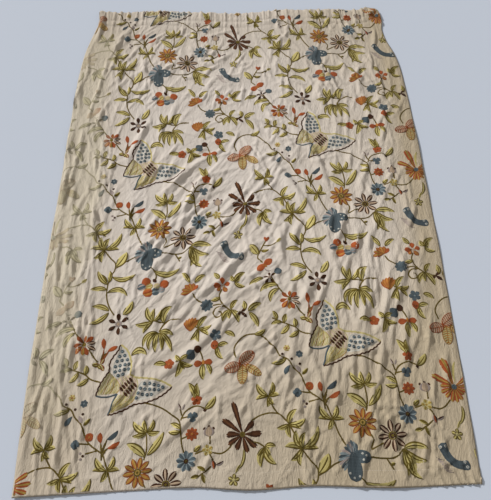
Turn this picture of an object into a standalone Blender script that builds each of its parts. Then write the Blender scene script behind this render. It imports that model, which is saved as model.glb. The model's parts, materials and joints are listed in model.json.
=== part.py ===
"""A crewel embroidery panel: one hemmed cotton cloth with a gathered heading, lying flat.

The cloth is a height field. Its plan is a rectangle that draws in towards the heading, and its
height over the surface is the sum of long creases, the gathers of the heading, the puckers of
the hem and the two crumpled corners. Between the folds it touches the surface, at z = 0.
X runs across the panel, Y from the bottom hem up to the heading, Z up.
"""

from collections import namedtuple

import bmesh
import bpy
import numpy as np

# Driving dimensions, in metres
PANEL_WIDTH = 1.22
PANEL_LENGTH = 1.74
CLOTH_THICKNESS = 0.0015
HEM_DEPTH = 0.042
HEM_EXTRA = 0.0008
FRILL_DEPTH = 0.046
CASING_DEPTH = 0.030
LIFT_OFF = 0.0007
SIDE_ROLL_INSET = 0.016
SIDE_ROLL_HEIGHT = 0.0035

# Mesh of the cloth: a fine grid, thinned out where the cloth is flat
GRID_ACROSS = 190
GRID_ALONG = 260
KEPT_SHARE = 0.050

CLOTH_COLOR = (0.62, 0.53, 0.43, 1.0)
CLOTH_ROUGHNESS = 0.95

# The two side edges, at stations above the bottom hem: how far each lies inside half the width.
# They draw in at the gathered heading, and bulge a little below it.
Station = namedtuple("Station", "height left_inset right_inset")
SIDES = (
    Station(0.000, -0.002, 0.000),
    Station(0.210, -0.006, -0.006),
    Station(0.580, -0.003, -0.012),
    Station(0.945, 0.007, -0.014),
    Station(1.310, 0.016, -0.009),
    Station(1.435, 0.020, -0.003),
    Station(1.510, 0.029, 0.009),
    Station(1.585, 0.045, 0.030),
    Station(1.640, 0.060, 0.039),
    Station(1.690, 0.069, 0.033),
    Station(1.740, 0.066, 0.042),
)

# How far each end edge waves from its straight line, at points across the width
EdgePoint = namedtuple("EdgePoint", "across offset")
BOTTOM_EDGE = (
    EdgePoint(-0.61, 0.000),
    EdgePoint(-0.31, 0.008),
    EdgePoint(-0.14, 0.011),
    EdgePoint(0.00, 0.001),
    EdgePoint(0.18, 0.006),
    EdgePoint(0.36, -0.003),
    EdgePoint(0.61, 0.000),
)
TOP_EDGE = (
    EdgePoint(-0.55, 0.000),
    EdgePoint(-0.43, -0.004),
    EdgePoint(-0.32, 0.002),
    EdgePoint(-0.18, -0.012),
    EdgePoint(0.10, -0.015),
    EdgePoint(0.17, -0.005),
    EdgePoint(0.26, -0.011),
    EdgePoint(0.38, -0.007),
    EdgePoint(0.49, -0.010),
    EdgePoint(0.53, 0.000),
    EdgePoint(0.57, -0.024),
)

# Long creases, from their lower end (x0, y0) to their upper end (x1, y1). Y is measured from the
# middle of the panel. Bow pushes the middle of a crease to the right of its way up.
Crease = namedtuple("Crease", "x0 y0 x1 y1 bow width height")
CREASES = (
    Crease(0.280, -0.225, 0.055, 0.215, 0.030, 0.030, 0.0105),
    Crease(0.295, 0.025, 0.175, 0.325, 0.020, 0.026, 0.0085),
    Crease(0.130, -0.260, 0.115, -0.105, 0.000, 0.020, 0.0070),
    Crease(-0.275, -0.595, -0.045, -0.390, 0.012, 0.024, 0.0100),
    Crease(-0.160, -0.365, 0.045, -0.135, 0.010, 0.018, 0.0085),
    Crease(-0.065, -0.350, 0.005, -0.240, 0.000, 0.016, 0.0060),
    Crease(-0.210, 0.075, -0.105, 0.165, -0.008, 0.022, 0.0080),
    Crease(-0.265, -0.780, -0.100, -0.625, 0.008, 0.020, 0.0065),
    Crease(-0.125, -0.120, -0.035, -0.070, 0.000, 0.018, 0.0060),
    Crease(-0.250, 0.295, -0.220, 0.410, 0.000, 0.018, 0.0055),
    Crease(-0.385, 0.140, -0.310, 0.335, -0.006, 0.020, 0.0070),
    Crease(0.265, -0.450, 0.285, -0.340, 0.000, 0.018, 0.0060),
    Crease(0.380, -0.585, 0.400, -0.490, 0.006, 0.018, 0.0070),
    Crease(0.420, -0.525, 0.440, -0.430, 0.000, 0.016, 0.0060),
    Crease(0.515, -0.485, 0.500, -0.350, 0.004, 0.016, 0.0065),
    Crease(0.300, -0.590, 0.315, -0.470, 0.000, 0.018, 0.0060),
    Crease(0.185, -0.485, 0.205, -0.325, 0.006, 0.018, 0.0070),
    Crease(0.395, -0.020, 0.415, 0.090, 0.000, 0.018, 0.0060),
    Crease(0.495, -0.300, 0.490, -0.170, 0.004, 0.016, 0.0050),
    Crease(-0.495, 0.265, -0.500, 0.450, 0.006, 0.018, 0.0060),
    Crease(-0.545, -0.305, -0.555, -0.070, 0.005, 0.016, 0.0065),
    Crease(-0.510, -0.535, -0.485, -0.410, 0.000, 0.018, 0.0070),
    Crease(-0.420, -0.610, -0.385, -0.535, 0.004, 0.016, 0.0055),
    Crease(-0.565, -0.690, -0.545, -0.560, 0.000, 0.016, 0.0060),
    Crease(-0.355, 0.515, -0.350, 0.630, 0.005, 0.020, 0.0065),
    Crease(-0.470, 0.650, -0.440, 0.760, 0.005, 0.020, 0.0070),
    Crease(-0.125, 0.575, -0.015, 0.645, 0.008, 0.020, 0.0065),
    Crease(-0.140, 0.500, -0.100, 0.560, 0.000, 0.016, 0.0050),
    Crease(0.160, 0.645, 0.175, 0.725, -0.004, 0.018, 0.0065),
    Crease(0.505, 0.560, 0.490, 0.650, 0.004, 0.018, 0.0065),
    Crease(0.080, 0.395, 0.130, 0.355, 0.006, 0.016, 0.0055),
    Crease(-0.030, -0.535, 0.080, -0.410, 0.006, 0.018, 0.0060),
    Crease(-0.540, 0.700, -0.524, 0.850, 0.004, 0.014, 0.0090),
    Crease(0.470, 0.700, 0.440, 0.790, -0.006, 0.018, 0.0080),
    Crease(0.520, 0.640, 0.540, 0.760, 0.006, 0.014, 0.0080),
    Crease(0.515, 0.820, 0.560, 0.850, 0.000, 0.016, 0.0100),
    Crease(-0.310, -0.440, 0.010, -0.080, 0.020, 0.055, 0.0050),
    Crease(-0.270, -0.120, -0.030, 0.180, 0.020, 0.050, 0.0045),
    Crease(0.330, -0.620, 0.360, -0.260, 0.010, 0.050, 0.0045),
)

# Gathers of the heading: narrow ridges that fade out down the cloth
GATHER_PITCH = 0.036
GATHER_HEIGHT = 0.0065
GATHER_REACH = 0.075

# Puckers of the bottom hem, tight at its right-hand corner
PUCKER_PITCH = 0.046
PUCKER_HEIGHT = 0.0022
CORNER_PITCH = 0.021
CORNER_HEIGHT = 0.0050
CORNER_LENGTH = 0.110


def smooth_through(stations, values, at):
    """A curve that passes smoothly through a value at each station."""
    stations = np.asarray(stations)
    values = np.asarray(values)
    slopes = np.gradient(values, stations)
    left = np.clip(np.searchsorted(stations, at) - 1, 0, len(stations) - 2)
    span = stations[left + 1] - stations[left]
    t = np.clip((at - stations[left]) / span, 0.0, 1.0)
    rise = t * t * (3.0 - 2.0 * t)
    start_pull = span * slopes[left] * t * (1.0 - t) ** 2
    end_pull = span * slopes[left + 1] * t * t * (1.0 - t)
    return values[left] * (1.0 - rise) + values[left + 1] * rise + start_pull - end_pull


def edge_offset(points, across):
    return smooth_through([p.across for p in points], [p.offset for p in points], across)


def sides_at(height):
    """The left and the right edge of the cloth, at a height above the bottom hem."""
    heights = [s.height for s in SIDES]
    left = smooth_through(heights, [s.left_inset for s in SIDES], height) - PANEL_WIDTH / 2.0
    right = PANEL_WIDTH / 2.0 - smooth_through(heights, [s.right_inset for s in SIDES], height)
    return left, right


def plan_points():
    """The cloth's outline filled by a grid: x and y, with y measured from the middle."""
    across = np.linspace(0.0, 1.0, GRID_ACROSS + 1)
    along = np.linspace(0.0, 1.0, GRID_ALONG + 1)
    u, v = np.meshgrid(across, along)
    left, right = sides_at(v * PANEL_LENGTH)
    x = left + u * (right - left)
    bottom = edge_offset(BOTTOM_EDGE, x)
    top = PANEL_LENGTH + edge_offset(TOP_EDGE, x)
    y = bottom + v * (top - bottom) - PANEL_LENGTH / 2.0
    return x, y


def hump(t):
    """A rounded hump of height 1 that is exactly flat from t = 1 outwards, on both sides."""
    return np.clip(1.0 - t * t, 0.0, None) ** 2


def crease_height(x, y, crease):
    """One crease: a ridge with its steeper side to the right, tapering to both ends."""
    run_x = crease.x1 - crease.x0
    run_y = crease.y1 - crease.y0
    length = np.hypot(run_x, run_y)
    along = ((x - crease.x0) * run_x + (y - crease.y0) * run_y) / length**2
    inside = np.clip(along, 0.0, 1.0)
    taper = (4.0 * inside * (1.0 - inside)) ** 0.75
    side = ((x - crease.x0) * run_y - (y - crease.y0) * run_x) / length
    side = side - crease.bow * 4.0 * inside * (1.0 - inside)
    reach = np.where(side > 0.0, 0.6, 1.2) * crease.width
    return crease.height * taper * hump(side / reach)


def side_roll_height(x, y):
    """The turned side edges, which roll up a little just inside the outline."""
    left, right = sides_at(y + PANEL_LENGTH / 2.0)
    from_left = (x - left - SIDE_ROLL_INSET) / SIDE_ROLL_INSET
    from_right = (right - x - SIDE_ROLL_INSET) / SIDE_ROLL_INSET
    uneven = 0.7 + 0.3 * np.sin(9.0 * y + 1.0) * np.sin(23.0 * y)
    return SIDE_ROLL_HEIGHT * uneven * (hump(from_left) + hump(from_right))


def gather_height(x, y):
    """Gathers that the heading's casing draws up, of uneven width and uneven reach."""
    depth = PANEL_LENGTH / 2.0 + edge_offset(TOP_EDGE, x) - y
    fan = 1.0 - 0.06 * np.clip(depth, 0.0, 0.3) / 0.3
    turns = fan * x / GATHER_PITCH + 0.35 * np.sin(29.0 * x) + 0.22 * np.sin(71.0 * x + 2.0)
    ridge = np.clip(np.sin(2.0 * np.pi * turns), 0.0, None) ** 2
    reach = GATHER_REACH * (1.0 + 0.6 * np.sin(37.0 * x + 1.0) * np.sin(11.0 * x))
    fade = hump(depth / (2.2 * reach))
    pinned = 1.0 - 0.6 * hump((depth - FRILL_DEPTH) / 0.010)
    pinned = pinned - 0.5 * hump((depth - FRILL_DEPTH - CASING_DEPTH) / 0.010)
    return GATHER_HEIGHT * ridge * fade * pinned


def pucker_height(x, y):
    """Puckers along the bottom hem, and the tight crumple at its right-hand corner."""
    above = y + PANEL_LENGTH / 2.0 - edge_offset(BOTTOM_EDGE, x)
    turns = x / PUCKER_PITCH + 0.4 * np.sin(19.0 * x) + 0.3 * np.sin(53.0 * x)
    puckers = np.clip(np.sin(2.0 * np.pi * turns), 0.0, None) ** 2
    puckers = puckers * hump(above / (1.6 * HEM_DEPTH)) * PUCKER_HEIGHT
    from_right = PANEL_WIDTH / 2.0 - x
    near_corner = hump((from_right - 0.5 * CORNER_LENGTH) / CORNER_LENGTH)
    tilted = x + 0.35 * above
    crumple = np.clip(np.sin(2.0 * np.pi * tilted / CORNER_PITCH), 0.0, None) ** 2
    crumple = crumple * near_corner * hump(above / (1.4 * HEM_DEPTH)) * CORNER_HEIGHT
    return puckers + crumple


def fold_height(x, y):
    """Height of the cloth's underside over the surface, which the shallow skirts of folds touch."""
    height = side_roll_height(x, y) + gather_height(x, y) + pucker_height(x, y)
    for crease in CREASES:
        height = height + crease_height(x, y, crease)
    return np.clip(height - LIFT_OFF, 0.0, None)


def thickness(x, y):
    """The cloth, with the turned layers of the bottom hem and of the heading."""
    above = y + PANEL_LENGTH / 2.0 - edge_offset(BOTTOM_EDGE, x)
    depth = PANEL_LENGTH / 2.0 + edge_offset(TOP_EDGE, x) - y
    in_hem = np.clip((HEM_DEPTH - above) / 0.004, 0.0, 1.0)
    in_heading = np.clip((FRILL_DEPTH + CASING_DEPTH - depth) / 0.004, 0.0, 1.0)
    return CLOTH_THICKNESS + HEM_EXTRA * (in_hem + in_heading)


def grid_faces():
    """Four corners for each cell of the plan grid, counted so that the face looks up."""
    row_length = GRID_ACROSS + 1
    start = np.arange(GRID_ALONG)[:, None] * row_length + np.arange(GRID_ACROSS)[None, :]
    start = start.ravel()
    corners = (start, start + 1, start + 1 + row_length, start + row_length)
    return np.stack(corners, axis=1).tolist()


def thinned_sheet():
    """The cloth's upper surface, with few faces left where it lies flat."""
    x, y = plan_points()
    z = fold_height(x, y) + thickness(x, y)
    points = np.stack([x.ravel(), y.ravel(), z.ravel()], axis=1).tolist()
    fine = bpy.data.meshes.new("fine_sheet")
    fine.from_pydata(points, [], grid_faces())
    helper = bpy.data.objects.new("fine_sheet", fine)
    bpy.context.scene.collection.objects.link(helper)
    decimate = helper.modifiers.new("thin_out", "DECIMATE")
    decimate.ratio = KEPT_SHARE
    graph = bpy.context.evaluated_depsgraph_get()
    sheet = bpy.data.meshes.new_from_object(helper.evaluated_get(graph))
    bpy.data.objects.remove(helper, do_unlink=True)
    bpy.data.meshes.remove(fine)
    return sheet


def set_heights(verts, with_thickness):
    flat = np.array([(v.co.x, v.co.y) for v in verts])
    heights = fold_height(flat[:, 0], flat[:, 1])
    if with_thickness:
        heights = heights + thickness(flat[:, 0], flat[:, 1])
    for vert, height in zip(verts, heights):
        vert.co.z = height


def panel_mesh():
    """The thinned sheet made solid: an underside on the folds and an upper side above it."""
    shape = bmesh.new()
    shape.from_mesh(thinned_sheet())
    bmesh.ops.triangulate(shape, faces=shape.faces[:])
    underside = shape.verts[:]
    made = bmesh.ops.extrude_face_region(shape, geom=shape.faces[:], use_keep_orig=True)
    upper = [item for item in made["geom"] if isinstance(item, bmesh.types.BMVert)]
    set_heights(underside, False)
    set_heights(upper, True)
    bmesh.ops.recalc_face_normals(shape, faces=shape.faces[:])
    mesh = bpy.data.meshes.new("panel")
    shape.to_mesh(mesh)
    shape.free()
    return mesh


def cloth_material():
    material = bpy.data.materials.new("ecru_cotton")
    material.use_nodes = True
    surface = material.node_tree.nodes["Principled BSDF"]
    surface.inputs["Base Color"].default_value = CLOTH_COLOR
    surface.inputs["Roughness"].default_value = CLOTH_ROUGHNESS
    surface.inputs["Metallic"].default_value = 0.0
    return material


def main():
    for old in list(bpy.data.objects):
        bpy.data.objects.remove(old, do_unlink=True)
    panel = bpy.data.objects.new("panel", panel_mesh())
    panel.data.materials.append(cloth_material())
    panel.data.shade_smooth()
    bpy.context.scene.collection.objects.link(panel)


main()
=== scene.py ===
# %% [markdown]
# # A crewel embroidery panel
#
# The real thing is one length of unbleached cotton, hemmed at the sides and the bottom and drawn
# up on a casing at the top, with flowers, leaves and butterflies sewn all over it in chain
# stitch, in coloured wool. It lies on its back on a pale surface and keeps the creases of having
# been folded.
#
# The script first loads the panel as it was engineered, which fixes the outline and the main
# folds. Everything here is laid on those folds.

# %% Load the engineered panel
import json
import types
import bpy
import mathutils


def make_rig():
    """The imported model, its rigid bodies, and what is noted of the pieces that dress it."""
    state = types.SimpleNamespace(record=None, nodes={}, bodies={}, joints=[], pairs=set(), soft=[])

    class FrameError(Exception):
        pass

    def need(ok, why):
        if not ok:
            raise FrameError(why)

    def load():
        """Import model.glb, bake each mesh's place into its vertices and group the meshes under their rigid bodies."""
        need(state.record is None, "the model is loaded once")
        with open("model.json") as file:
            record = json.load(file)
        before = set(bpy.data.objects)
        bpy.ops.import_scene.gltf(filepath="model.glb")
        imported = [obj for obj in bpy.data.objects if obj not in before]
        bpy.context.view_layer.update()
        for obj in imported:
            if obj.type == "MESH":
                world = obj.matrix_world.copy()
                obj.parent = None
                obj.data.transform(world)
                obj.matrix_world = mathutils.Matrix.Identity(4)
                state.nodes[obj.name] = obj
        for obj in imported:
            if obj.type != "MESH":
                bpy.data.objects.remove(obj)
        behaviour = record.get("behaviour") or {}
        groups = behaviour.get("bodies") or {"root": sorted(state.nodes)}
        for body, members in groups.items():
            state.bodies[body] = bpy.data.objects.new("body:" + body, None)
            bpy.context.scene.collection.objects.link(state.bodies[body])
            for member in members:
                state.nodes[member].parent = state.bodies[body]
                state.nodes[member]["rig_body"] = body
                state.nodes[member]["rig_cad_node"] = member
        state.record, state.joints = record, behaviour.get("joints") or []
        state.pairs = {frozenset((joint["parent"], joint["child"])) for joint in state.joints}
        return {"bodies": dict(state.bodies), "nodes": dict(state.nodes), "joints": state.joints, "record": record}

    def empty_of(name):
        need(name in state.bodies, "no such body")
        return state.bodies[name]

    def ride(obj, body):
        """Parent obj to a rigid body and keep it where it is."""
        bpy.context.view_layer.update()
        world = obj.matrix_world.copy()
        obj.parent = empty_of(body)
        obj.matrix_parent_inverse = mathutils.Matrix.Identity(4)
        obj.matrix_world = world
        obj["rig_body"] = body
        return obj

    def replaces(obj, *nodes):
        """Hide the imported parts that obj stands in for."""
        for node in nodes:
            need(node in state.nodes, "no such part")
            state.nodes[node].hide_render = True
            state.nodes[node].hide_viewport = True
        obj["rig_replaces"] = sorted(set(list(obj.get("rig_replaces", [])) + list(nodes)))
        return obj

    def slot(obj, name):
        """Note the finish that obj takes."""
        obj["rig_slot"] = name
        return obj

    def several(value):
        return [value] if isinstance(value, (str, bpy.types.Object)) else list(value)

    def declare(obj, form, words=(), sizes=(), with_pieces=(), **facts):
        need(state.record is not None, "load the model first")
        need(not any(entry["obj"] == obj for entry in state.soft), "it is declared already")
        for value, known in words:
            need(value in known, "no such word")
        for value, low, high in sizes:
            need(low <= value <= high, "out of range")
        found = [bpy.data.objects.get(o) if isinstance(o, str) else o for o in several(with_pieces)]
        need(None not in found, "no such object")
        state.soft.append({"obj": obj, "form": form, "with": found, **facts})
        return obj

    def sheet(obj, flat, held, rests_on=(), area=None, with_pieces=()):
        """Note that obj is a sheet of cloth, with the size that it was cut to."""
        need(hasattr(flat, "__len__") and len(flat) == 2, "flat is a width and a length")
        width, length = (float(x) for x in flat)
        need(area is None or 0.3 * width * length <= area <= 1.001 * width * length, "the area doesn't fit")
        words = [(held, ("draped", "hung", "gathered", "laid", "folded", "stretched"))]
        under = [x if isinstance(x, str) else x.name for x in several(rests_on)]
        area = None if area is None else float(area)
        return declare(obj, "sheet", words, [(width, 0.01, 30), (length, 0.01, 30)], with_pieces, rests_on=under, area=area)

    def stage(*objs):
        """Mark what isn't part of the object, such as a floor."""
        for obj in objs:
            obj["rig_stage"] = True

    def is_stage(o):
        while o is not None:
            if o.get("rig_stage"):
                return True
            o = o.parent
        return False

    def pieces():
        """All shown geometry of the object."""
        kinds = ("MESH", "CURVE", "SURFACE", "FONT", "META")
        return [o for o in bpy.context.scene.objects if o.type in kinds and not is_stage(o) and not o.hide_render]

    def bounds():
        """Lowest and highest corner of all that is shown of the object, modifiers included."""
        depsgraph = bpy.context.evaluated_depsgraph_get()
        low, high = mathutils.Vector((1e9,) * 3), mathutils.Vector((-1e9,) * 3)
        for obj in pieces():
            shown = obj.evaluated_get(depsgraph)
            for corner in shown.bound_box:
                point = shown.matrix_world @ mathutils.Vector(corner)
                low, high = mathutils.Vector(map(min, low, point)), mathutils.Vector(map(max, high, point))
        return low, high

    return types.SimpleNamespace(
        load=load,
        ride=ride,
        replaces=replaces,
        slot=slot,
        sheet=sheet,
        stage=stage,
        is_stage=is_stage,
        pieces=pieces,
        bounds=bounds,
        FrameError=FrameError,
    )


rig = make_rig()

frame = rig.load()

import json
from collections import namedtuple

import bpy
import numpy as np
from mathutils import Matrix, Vector

CAD_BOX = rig.bounds()
print("nodes:", sorted(frame["nodes"]), "box:", np.round(CAD_BOX, 4).tolist())

# %% [markdown]
# ## The camera
#
# The photograph looks steeply down on the cloth from its hem. A camera needs only four things
# to stand in the same place: where it is, the point of the surface in the middle of its view,
# how far it is rolled, and its focal length. The lens is given for a sensor as high as the
# picture, so the picture's height in pixels and the focal length in pixels are the same number
# here.

# %% Place the camera
CAMERA_PLACE = Vector((-0.010, -0.827, 1.442))
CAMERA_TARGET = Vector((0.010, -0.184, 0.0))
CAMERA_ROLL = np.radians(0.25)
SENSOR_MM = 36.0
LENS_MM = 36.0

camera_data = bpy.data.cameras.new("camera")
camera_data.sensor_fit = "VERTICAL"
camera_data.sensor_height = SENSOR_MM
camera_data.lens = LENS_MM
camera = bpy.data.objects.new("camera", camera_data)
turn = (CAMERA_TARGET - CAMERA_PLACE).to_track_quat("-Z", "Y").to_matrix().to_4x4()
roll = Matrix.Rotation(CAMERA_ROLL, 4, "Z")
camera.matrix_world = Matrix.Translation(CAMERA_PLACE) @ turn @ roll
bpy.context.scene.collection.objects.link(camera)
bpy.context.scene.camera = camera
print("camera height:", round(CAMERA_PLACE.z, 3), "m")

# %% [markdown]
# ## Light and surface
#
# Creases only show when light rakes across them. Soft daylight comes in low from the upper left,
# where the bright sides of the folds in the photograph point, and a pale sky fills the shadows.
# Daylight is a sun lamp with a wide disc, because a lamp in the room would light the near side
# of so long a cloth more than the far side. The surface is plain and slightly cool.

# %% Light the cloth
FLOOR_SIZE = 9.0
FLOOR_DROP = 0.0006
FLOOR_FINISH = (("Base Color", (0.515, 0.560, 0.640, 1.0)), ("Roughness", 0.9))
DAYLIGHT_FROM = Vector((-0.66, 0.50, 0.46))
DAYLIGHT_STRENGTH = 3.5
DAYLIGHT_DISC = np.radians(7.0)
SKY_COLOR = (1.0, 0.98, 0.955, 1.0)
SKY_STRENGTH = 0.42

daylight_data = bpy.data.lights.new("daylight", "SUN")
daylight_data.energy = DAYLIGHT_STRENGTH
daylight_data.angle = DAYLIGHT_DISC
daylight = bpy.data.objects.new("daylight", daylight_data)
daylight.rotation_euler = (-DAYLIGHT_FROM).to_track_quat("-Z", "Y").to_euler()
bpy.context.scene.collection.objects.link(daylight)

sky = bpy.data.worlds.new("sky")
sky.use_nodes = True
sky.node_tree.nodes["Background"].inputs["Color"].default_value = SKY_COLOR
sky.node_tree.nodes["Background"].inputs["Strength"].default_value = SKY_STRENGTH
bpy.context.scene.world = sky
bpy.context.scene.view_settings.view_transform = "Standard"


def new_material(name, settings):
    """A material whose Principled shader has these values set on its own sockets."""
    material = bpy.data.materials.new(name)
    material.use_nodes = True
    for key, value in settings:
        material.node_tree.nodes["Principled BSDF"].inputs[key].default_value = value
    return material


floor_mesh = bpy.data.meshes.new("floor")
side = FLOOR_SIZE / 2.0
corners = [(-side, -side), (side, -side), (side, side), (-side, side)]
floor_mesh.from_pydata([(x, y, -FLOOR_DROP) for x, y in corners], [], [(0, 1, 2, 3)])
floor = bpy.data.objects.new("floor", floor_mesh)
bpy.context.scene.collection.objects.link(floor)
floor_mesh.materials.append(new_material("pale_surface", FLOOR_FINISH))
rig.stage(floor)
print("daylight", round(float(np.degrees(np.arcsin(DAYLIGHT_FROM.normalized().z)))), "degrees high")

# %% [markdown]
# ## The plan of the cloth
#
# The cloth was cut as a rectangle. Drawn up on its casing it is narrower at the top, and each
# end waves a little. The plan is kept as a few named stations, with a smooth curve through
# them, in metres. A point of the flat cloth is (s, t): s across from the middle, t up from the
# middle. One function carries it to its plan place, and the stitches use the same one.

# %% Draw the outline
PANEL_WIDTH = 1.22
PANEL_LENGTH = 1.74
CLOTH_THICKNESS = 0.0015
HEM_DEPTH = 0.042
HEM_EXTRA = 0.0008
FRILL_DEPTH = 0.046
CASING_DEPTH = 0.030
RUFFLE = 0.0030

Station = namedtuple("Station", "height left_inset right_inset")
SIDES = (
    Station(0.000, -0.002, 0.000),
    Station(0.210, -0.006, -0.006),
    Station(0.580, -0.003, -0.012),
    Station(0.945, 0.007, -0.014),
    Station(1.310, 0.016, -0.009),
    Station(1.435, 0.020, -0.003),
    Station(1.510, 0.029, 0.009),
    Station(1.585, 0.045, 0.030),
    Station(1.640, 0.060, 0.039),
    Station(1.690, 0.069, 0.033),
    Station(1.740, 0.066, 0.042),
)
EdgePoint = namedtuple("EdgePoint", "across offset")
BOTTOM_EDGE = (
    EdgePoint(-0.61, 0.000),
    EdgePoint(-0.31, 0.008),
    EdgePoint(-0.14, 0.011),
    EdgePoint(0.00, 0.001),
    EdgePoint(0.18, 0.006),
    EdgePoint(0.36, -0.003),
    EdgePoint(0.61, 0.000),
)
TOP_EDGE = (
    EdgePoint(-0.55, 0.000),
    EdgePoint(-0.43, -0.004),
    EdgePoint(-0.32, 0.002),
    EdgePoint(-0.18, -0.012),
    EdgePoint(0.10, -0.015),
    EdgePoint(0.17, -0.005),
    EdgePoint(0.26, -0.011),
    EdgePoint(0.38, -0.007),
    EdgePoint(0.49, -0.010),
    EdgePoint(0.53, 0.000),
    EdgePoint(0.57, -0.024),
)


def smooth_through(stations, values, at):
    """A curve that passes smoothly through a value at each station (cubic Hermite)."""
    stations = np.asarray(stations)
    values = np.asarray(values)
    slopes = np.gradient(values, stations)
    left = np.clip(np.searchsorted(stations, at) - 1, 0, len(stations) - 2)
    span = stations[left + 1] - stations[left]
    t = np.clip((at - stations[left]) / span, 0.0, 1.0)
    rise = t * t * (3.0 - 2.0 * t)
    start_pull = span * slopes[left] * t * (1.0 - t) ** 2
    end_pull = span * slopes[left + 1] * t * t * (1.0 - t)
    return values[left] * (1.0 - rise) + values[left + 1] * rise + start_pull - end_pull


def edge_offset(points, across):
    """How far up an edge lies at a place across: the smooth curve through its points."""
    return smooth_through([p.across for p in points], [p.offset for p in points], across)


def top_edge(across):
    """The heading's edge: its charted wave with a fine uneven one, two sines multiplied."""
    return edge_offset(TOP_EDGE, across) + RUFFLE * np.sin(190.0 * across) * np.sin(67.0 * across + 1.0)


def sides_at(height):
    """The left and the right edge of the cloth, at a height above the bottom hem."""
    heights = [s.height for s in SIDES]
    left = smooth_through(heights, [s.left_inset for s in SIDES], height) - PANEL_WIDTH / 2.0
    right = PANEL_WIDTH / 2.0 - smooth_through(heights, [s.right_inset for s in SIDES], height)
    return left, right


def plan_of(s, t):
    """The plan place (x, y) of a point of the flat cloth."""
    v = t / PANEL_LENGTH + 0.5
    left, right = sides_at(v * PANEL_LENGTH)
    x = left + (s / PANEL_WIDTH + 0.5) * (right - left)
    bottom = edge_offset(BOTTOM_EDGE, x)
    top = PANEL_LENGTH + top_edge(x)
    return x, bottom + v * (top - bottom) - PANEL_LENGTH / 2.0


print("heading is", round(float(np.diff(sides_at(PANEL_LENGTH))[0]), 3), "m wide")

# %% [markdown]
# ## The main folds
#
# The folds are a height field over the surface: long creases that were charted, the
# gathers of the heading and the puckers of the hem. A crease is a ridge with a steep side and a
# long side, because cloth that is pushed leans over. The creases and puckers are those of the
# engineered panel, from the same sizes, so the looks and the solid agree. Only the gathers are
# lower here, because a finer frill is added to them further down.

# %% Chart the main folds
LIFT_OFF = 0.0007
SIDE_ROLL_INSET = 0.016
SIDE_ROLL_HEIGHT = 0.0035
GATHER_PITCH = 0.036
GATHER_HEIGHT = 0.0048
GATHER_REACH = 0.075
PUCKER_PITCH = 0.046
PUCKER_HEIGHT = 0.0022
CORNER_PITCH = 0.021
CORNER_HEIGHT = 0.0050
CORNER_LENGTH = 0.110

Crease = namedtuple("Crease", "x0 y0 x1 y1 bow width height")
CREASES = (
    Crease(0.280, -0.225, 0.055, 0.215, 0.030, 0.030, 0.0105),
    Crease(0.295, 0.025, 0.175, 0.325, 0.020, 0.026, 0.0085),
    Crease(0.130, -0.260, 0.115, -0.105, 0.000, 0.020, 0.0070),
    Crease(-0.275, -0.595, -0.045, -0.390, 0.012, 0.024, 0.0100),
    Crease(-0.160, -0.365, 0.045, -0.135, 0.010, 0.018, 0.0085),
    Crease(-0.065, -0.350, 0.005, -0.240, 0.000, 0.016, 0.0060),
    Crease(-0.210, 0.075, -0.105, 0.165, -0.008, 0.022, 0.0080),
    Crease(-0.265, -0.780, -0.100, -0.625, 0.008, 0.020, 0.0065),
    Crease(-0.125, -0.120, -0.035, -0.070, 0.000, 0.018, 0.0060),
    Crease(-0.250, 0.295, -0.220, 0.410, 0.000, 0.018, 0.0055),
    Crease(-0.385, 0.140, -0.310, 0.335, -0.006, 0.020, 0.0070),
    Crease(0.265, -0.450, 0.285, -0.340, 0.000, 0.018, 0.0060),
    Crease(0.380, -0.585, 0.400, -0.490, 0.006, 0.018, 0.0070),
    Crease(0.420, -0.525, 0.440, -0.430, 0.000, 0.016, 0.0060),
    Crease(0.515, -0.485, 0.500, -0.350, 0.004, 0.016, 0.0065),
    Crease(0.300, -0.590, 0.315, -0.470, 0.000, 0.018, 0.0060),
    Crease(0.185, -0.485, 0.205, -0.325, 0.006, 0.018, 0.0070),
    Crease(0.395, -0.020, 0.415, 0.090, 0.000, 0.018, 0.0060),
    Crease(0.495, -0.300, 0.490, -0.170, 0.004, 0.016, 0.0050),
    Crease(-0.495, 0.265, -0.500, 0.450, 0.006, 0.018, 0.0060),
    Crease(-0.545, -0.305, -0.555, -0.070, 0.005, 0.016, 0.0065),
    Crease(-0.510, -0.535, -0.485, -0.410, 0.000, 0.018, 0.0070),
    Crease(-0.420, -0.610, -0.385, -0.535, 0.004, 0.016, 0.0055),
    Crease(-0.565, -0.690, -0.545, -0.560, 0.000, 0.016, 0.0060),
    Crease(-0.355, 0.515, -0.350, 0.630, 0.005, 0.020, 0.0065),
    Crease(-0.470, 0.650, -0.440, 0.760, 0.005, 0.020, 0.0070),
    Crease(-0.125, 0.575, -0.015, 0.645, 0.008, 0.020, 0.0065),
    Crease(-0.140, 0.500, -0.100, 0.560, 0.000, 0.016, 0.0050),
    Crease(0.160, 0.645, 0.175, 0.725, -0.004, 0.018, 0.0065),
    Crease(0.505, 0.560, 0.490, 0.650, 0.004, 0.018, 0.0065),
    Crease(0.080, 0.395, 0.130, 0.355, 0.006, 0.016, 0.0055),
    Crease(-0.030, -0.535, 0.080, -0.410, 0.006, 0.018, 0.0060),
    Crease(-0.540, 0.700, -0.524, 0.850, 0.004, 0.014, 0.0090),
    Crease(0.470, 0.700, 0.440, 0.790, -0.006, 0.018, 0.0080),
    Crease(0.520, 0.640, 0.540, 0.760, 0.006, 0.014, 0.0080),
    Crease(0.515, 0.820, 0.560, 0.850, 0.000, 0.016, 0.0100),
    Crease(-0.310, -0.440, 0.010, -0.080, 0.020, 0.055, 0.0050),
    Crease(-0.270, -0.120, -0.030, 0.180, 0.020, 0.050, 0.0045),
    Crease(0.330, -0.620, 0.360, -0.260, 0.010, 0.050, 0.0045),
)

print("highest crease:", max(crease.height for crease in CREASES) * 1000, "mm")

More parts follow.
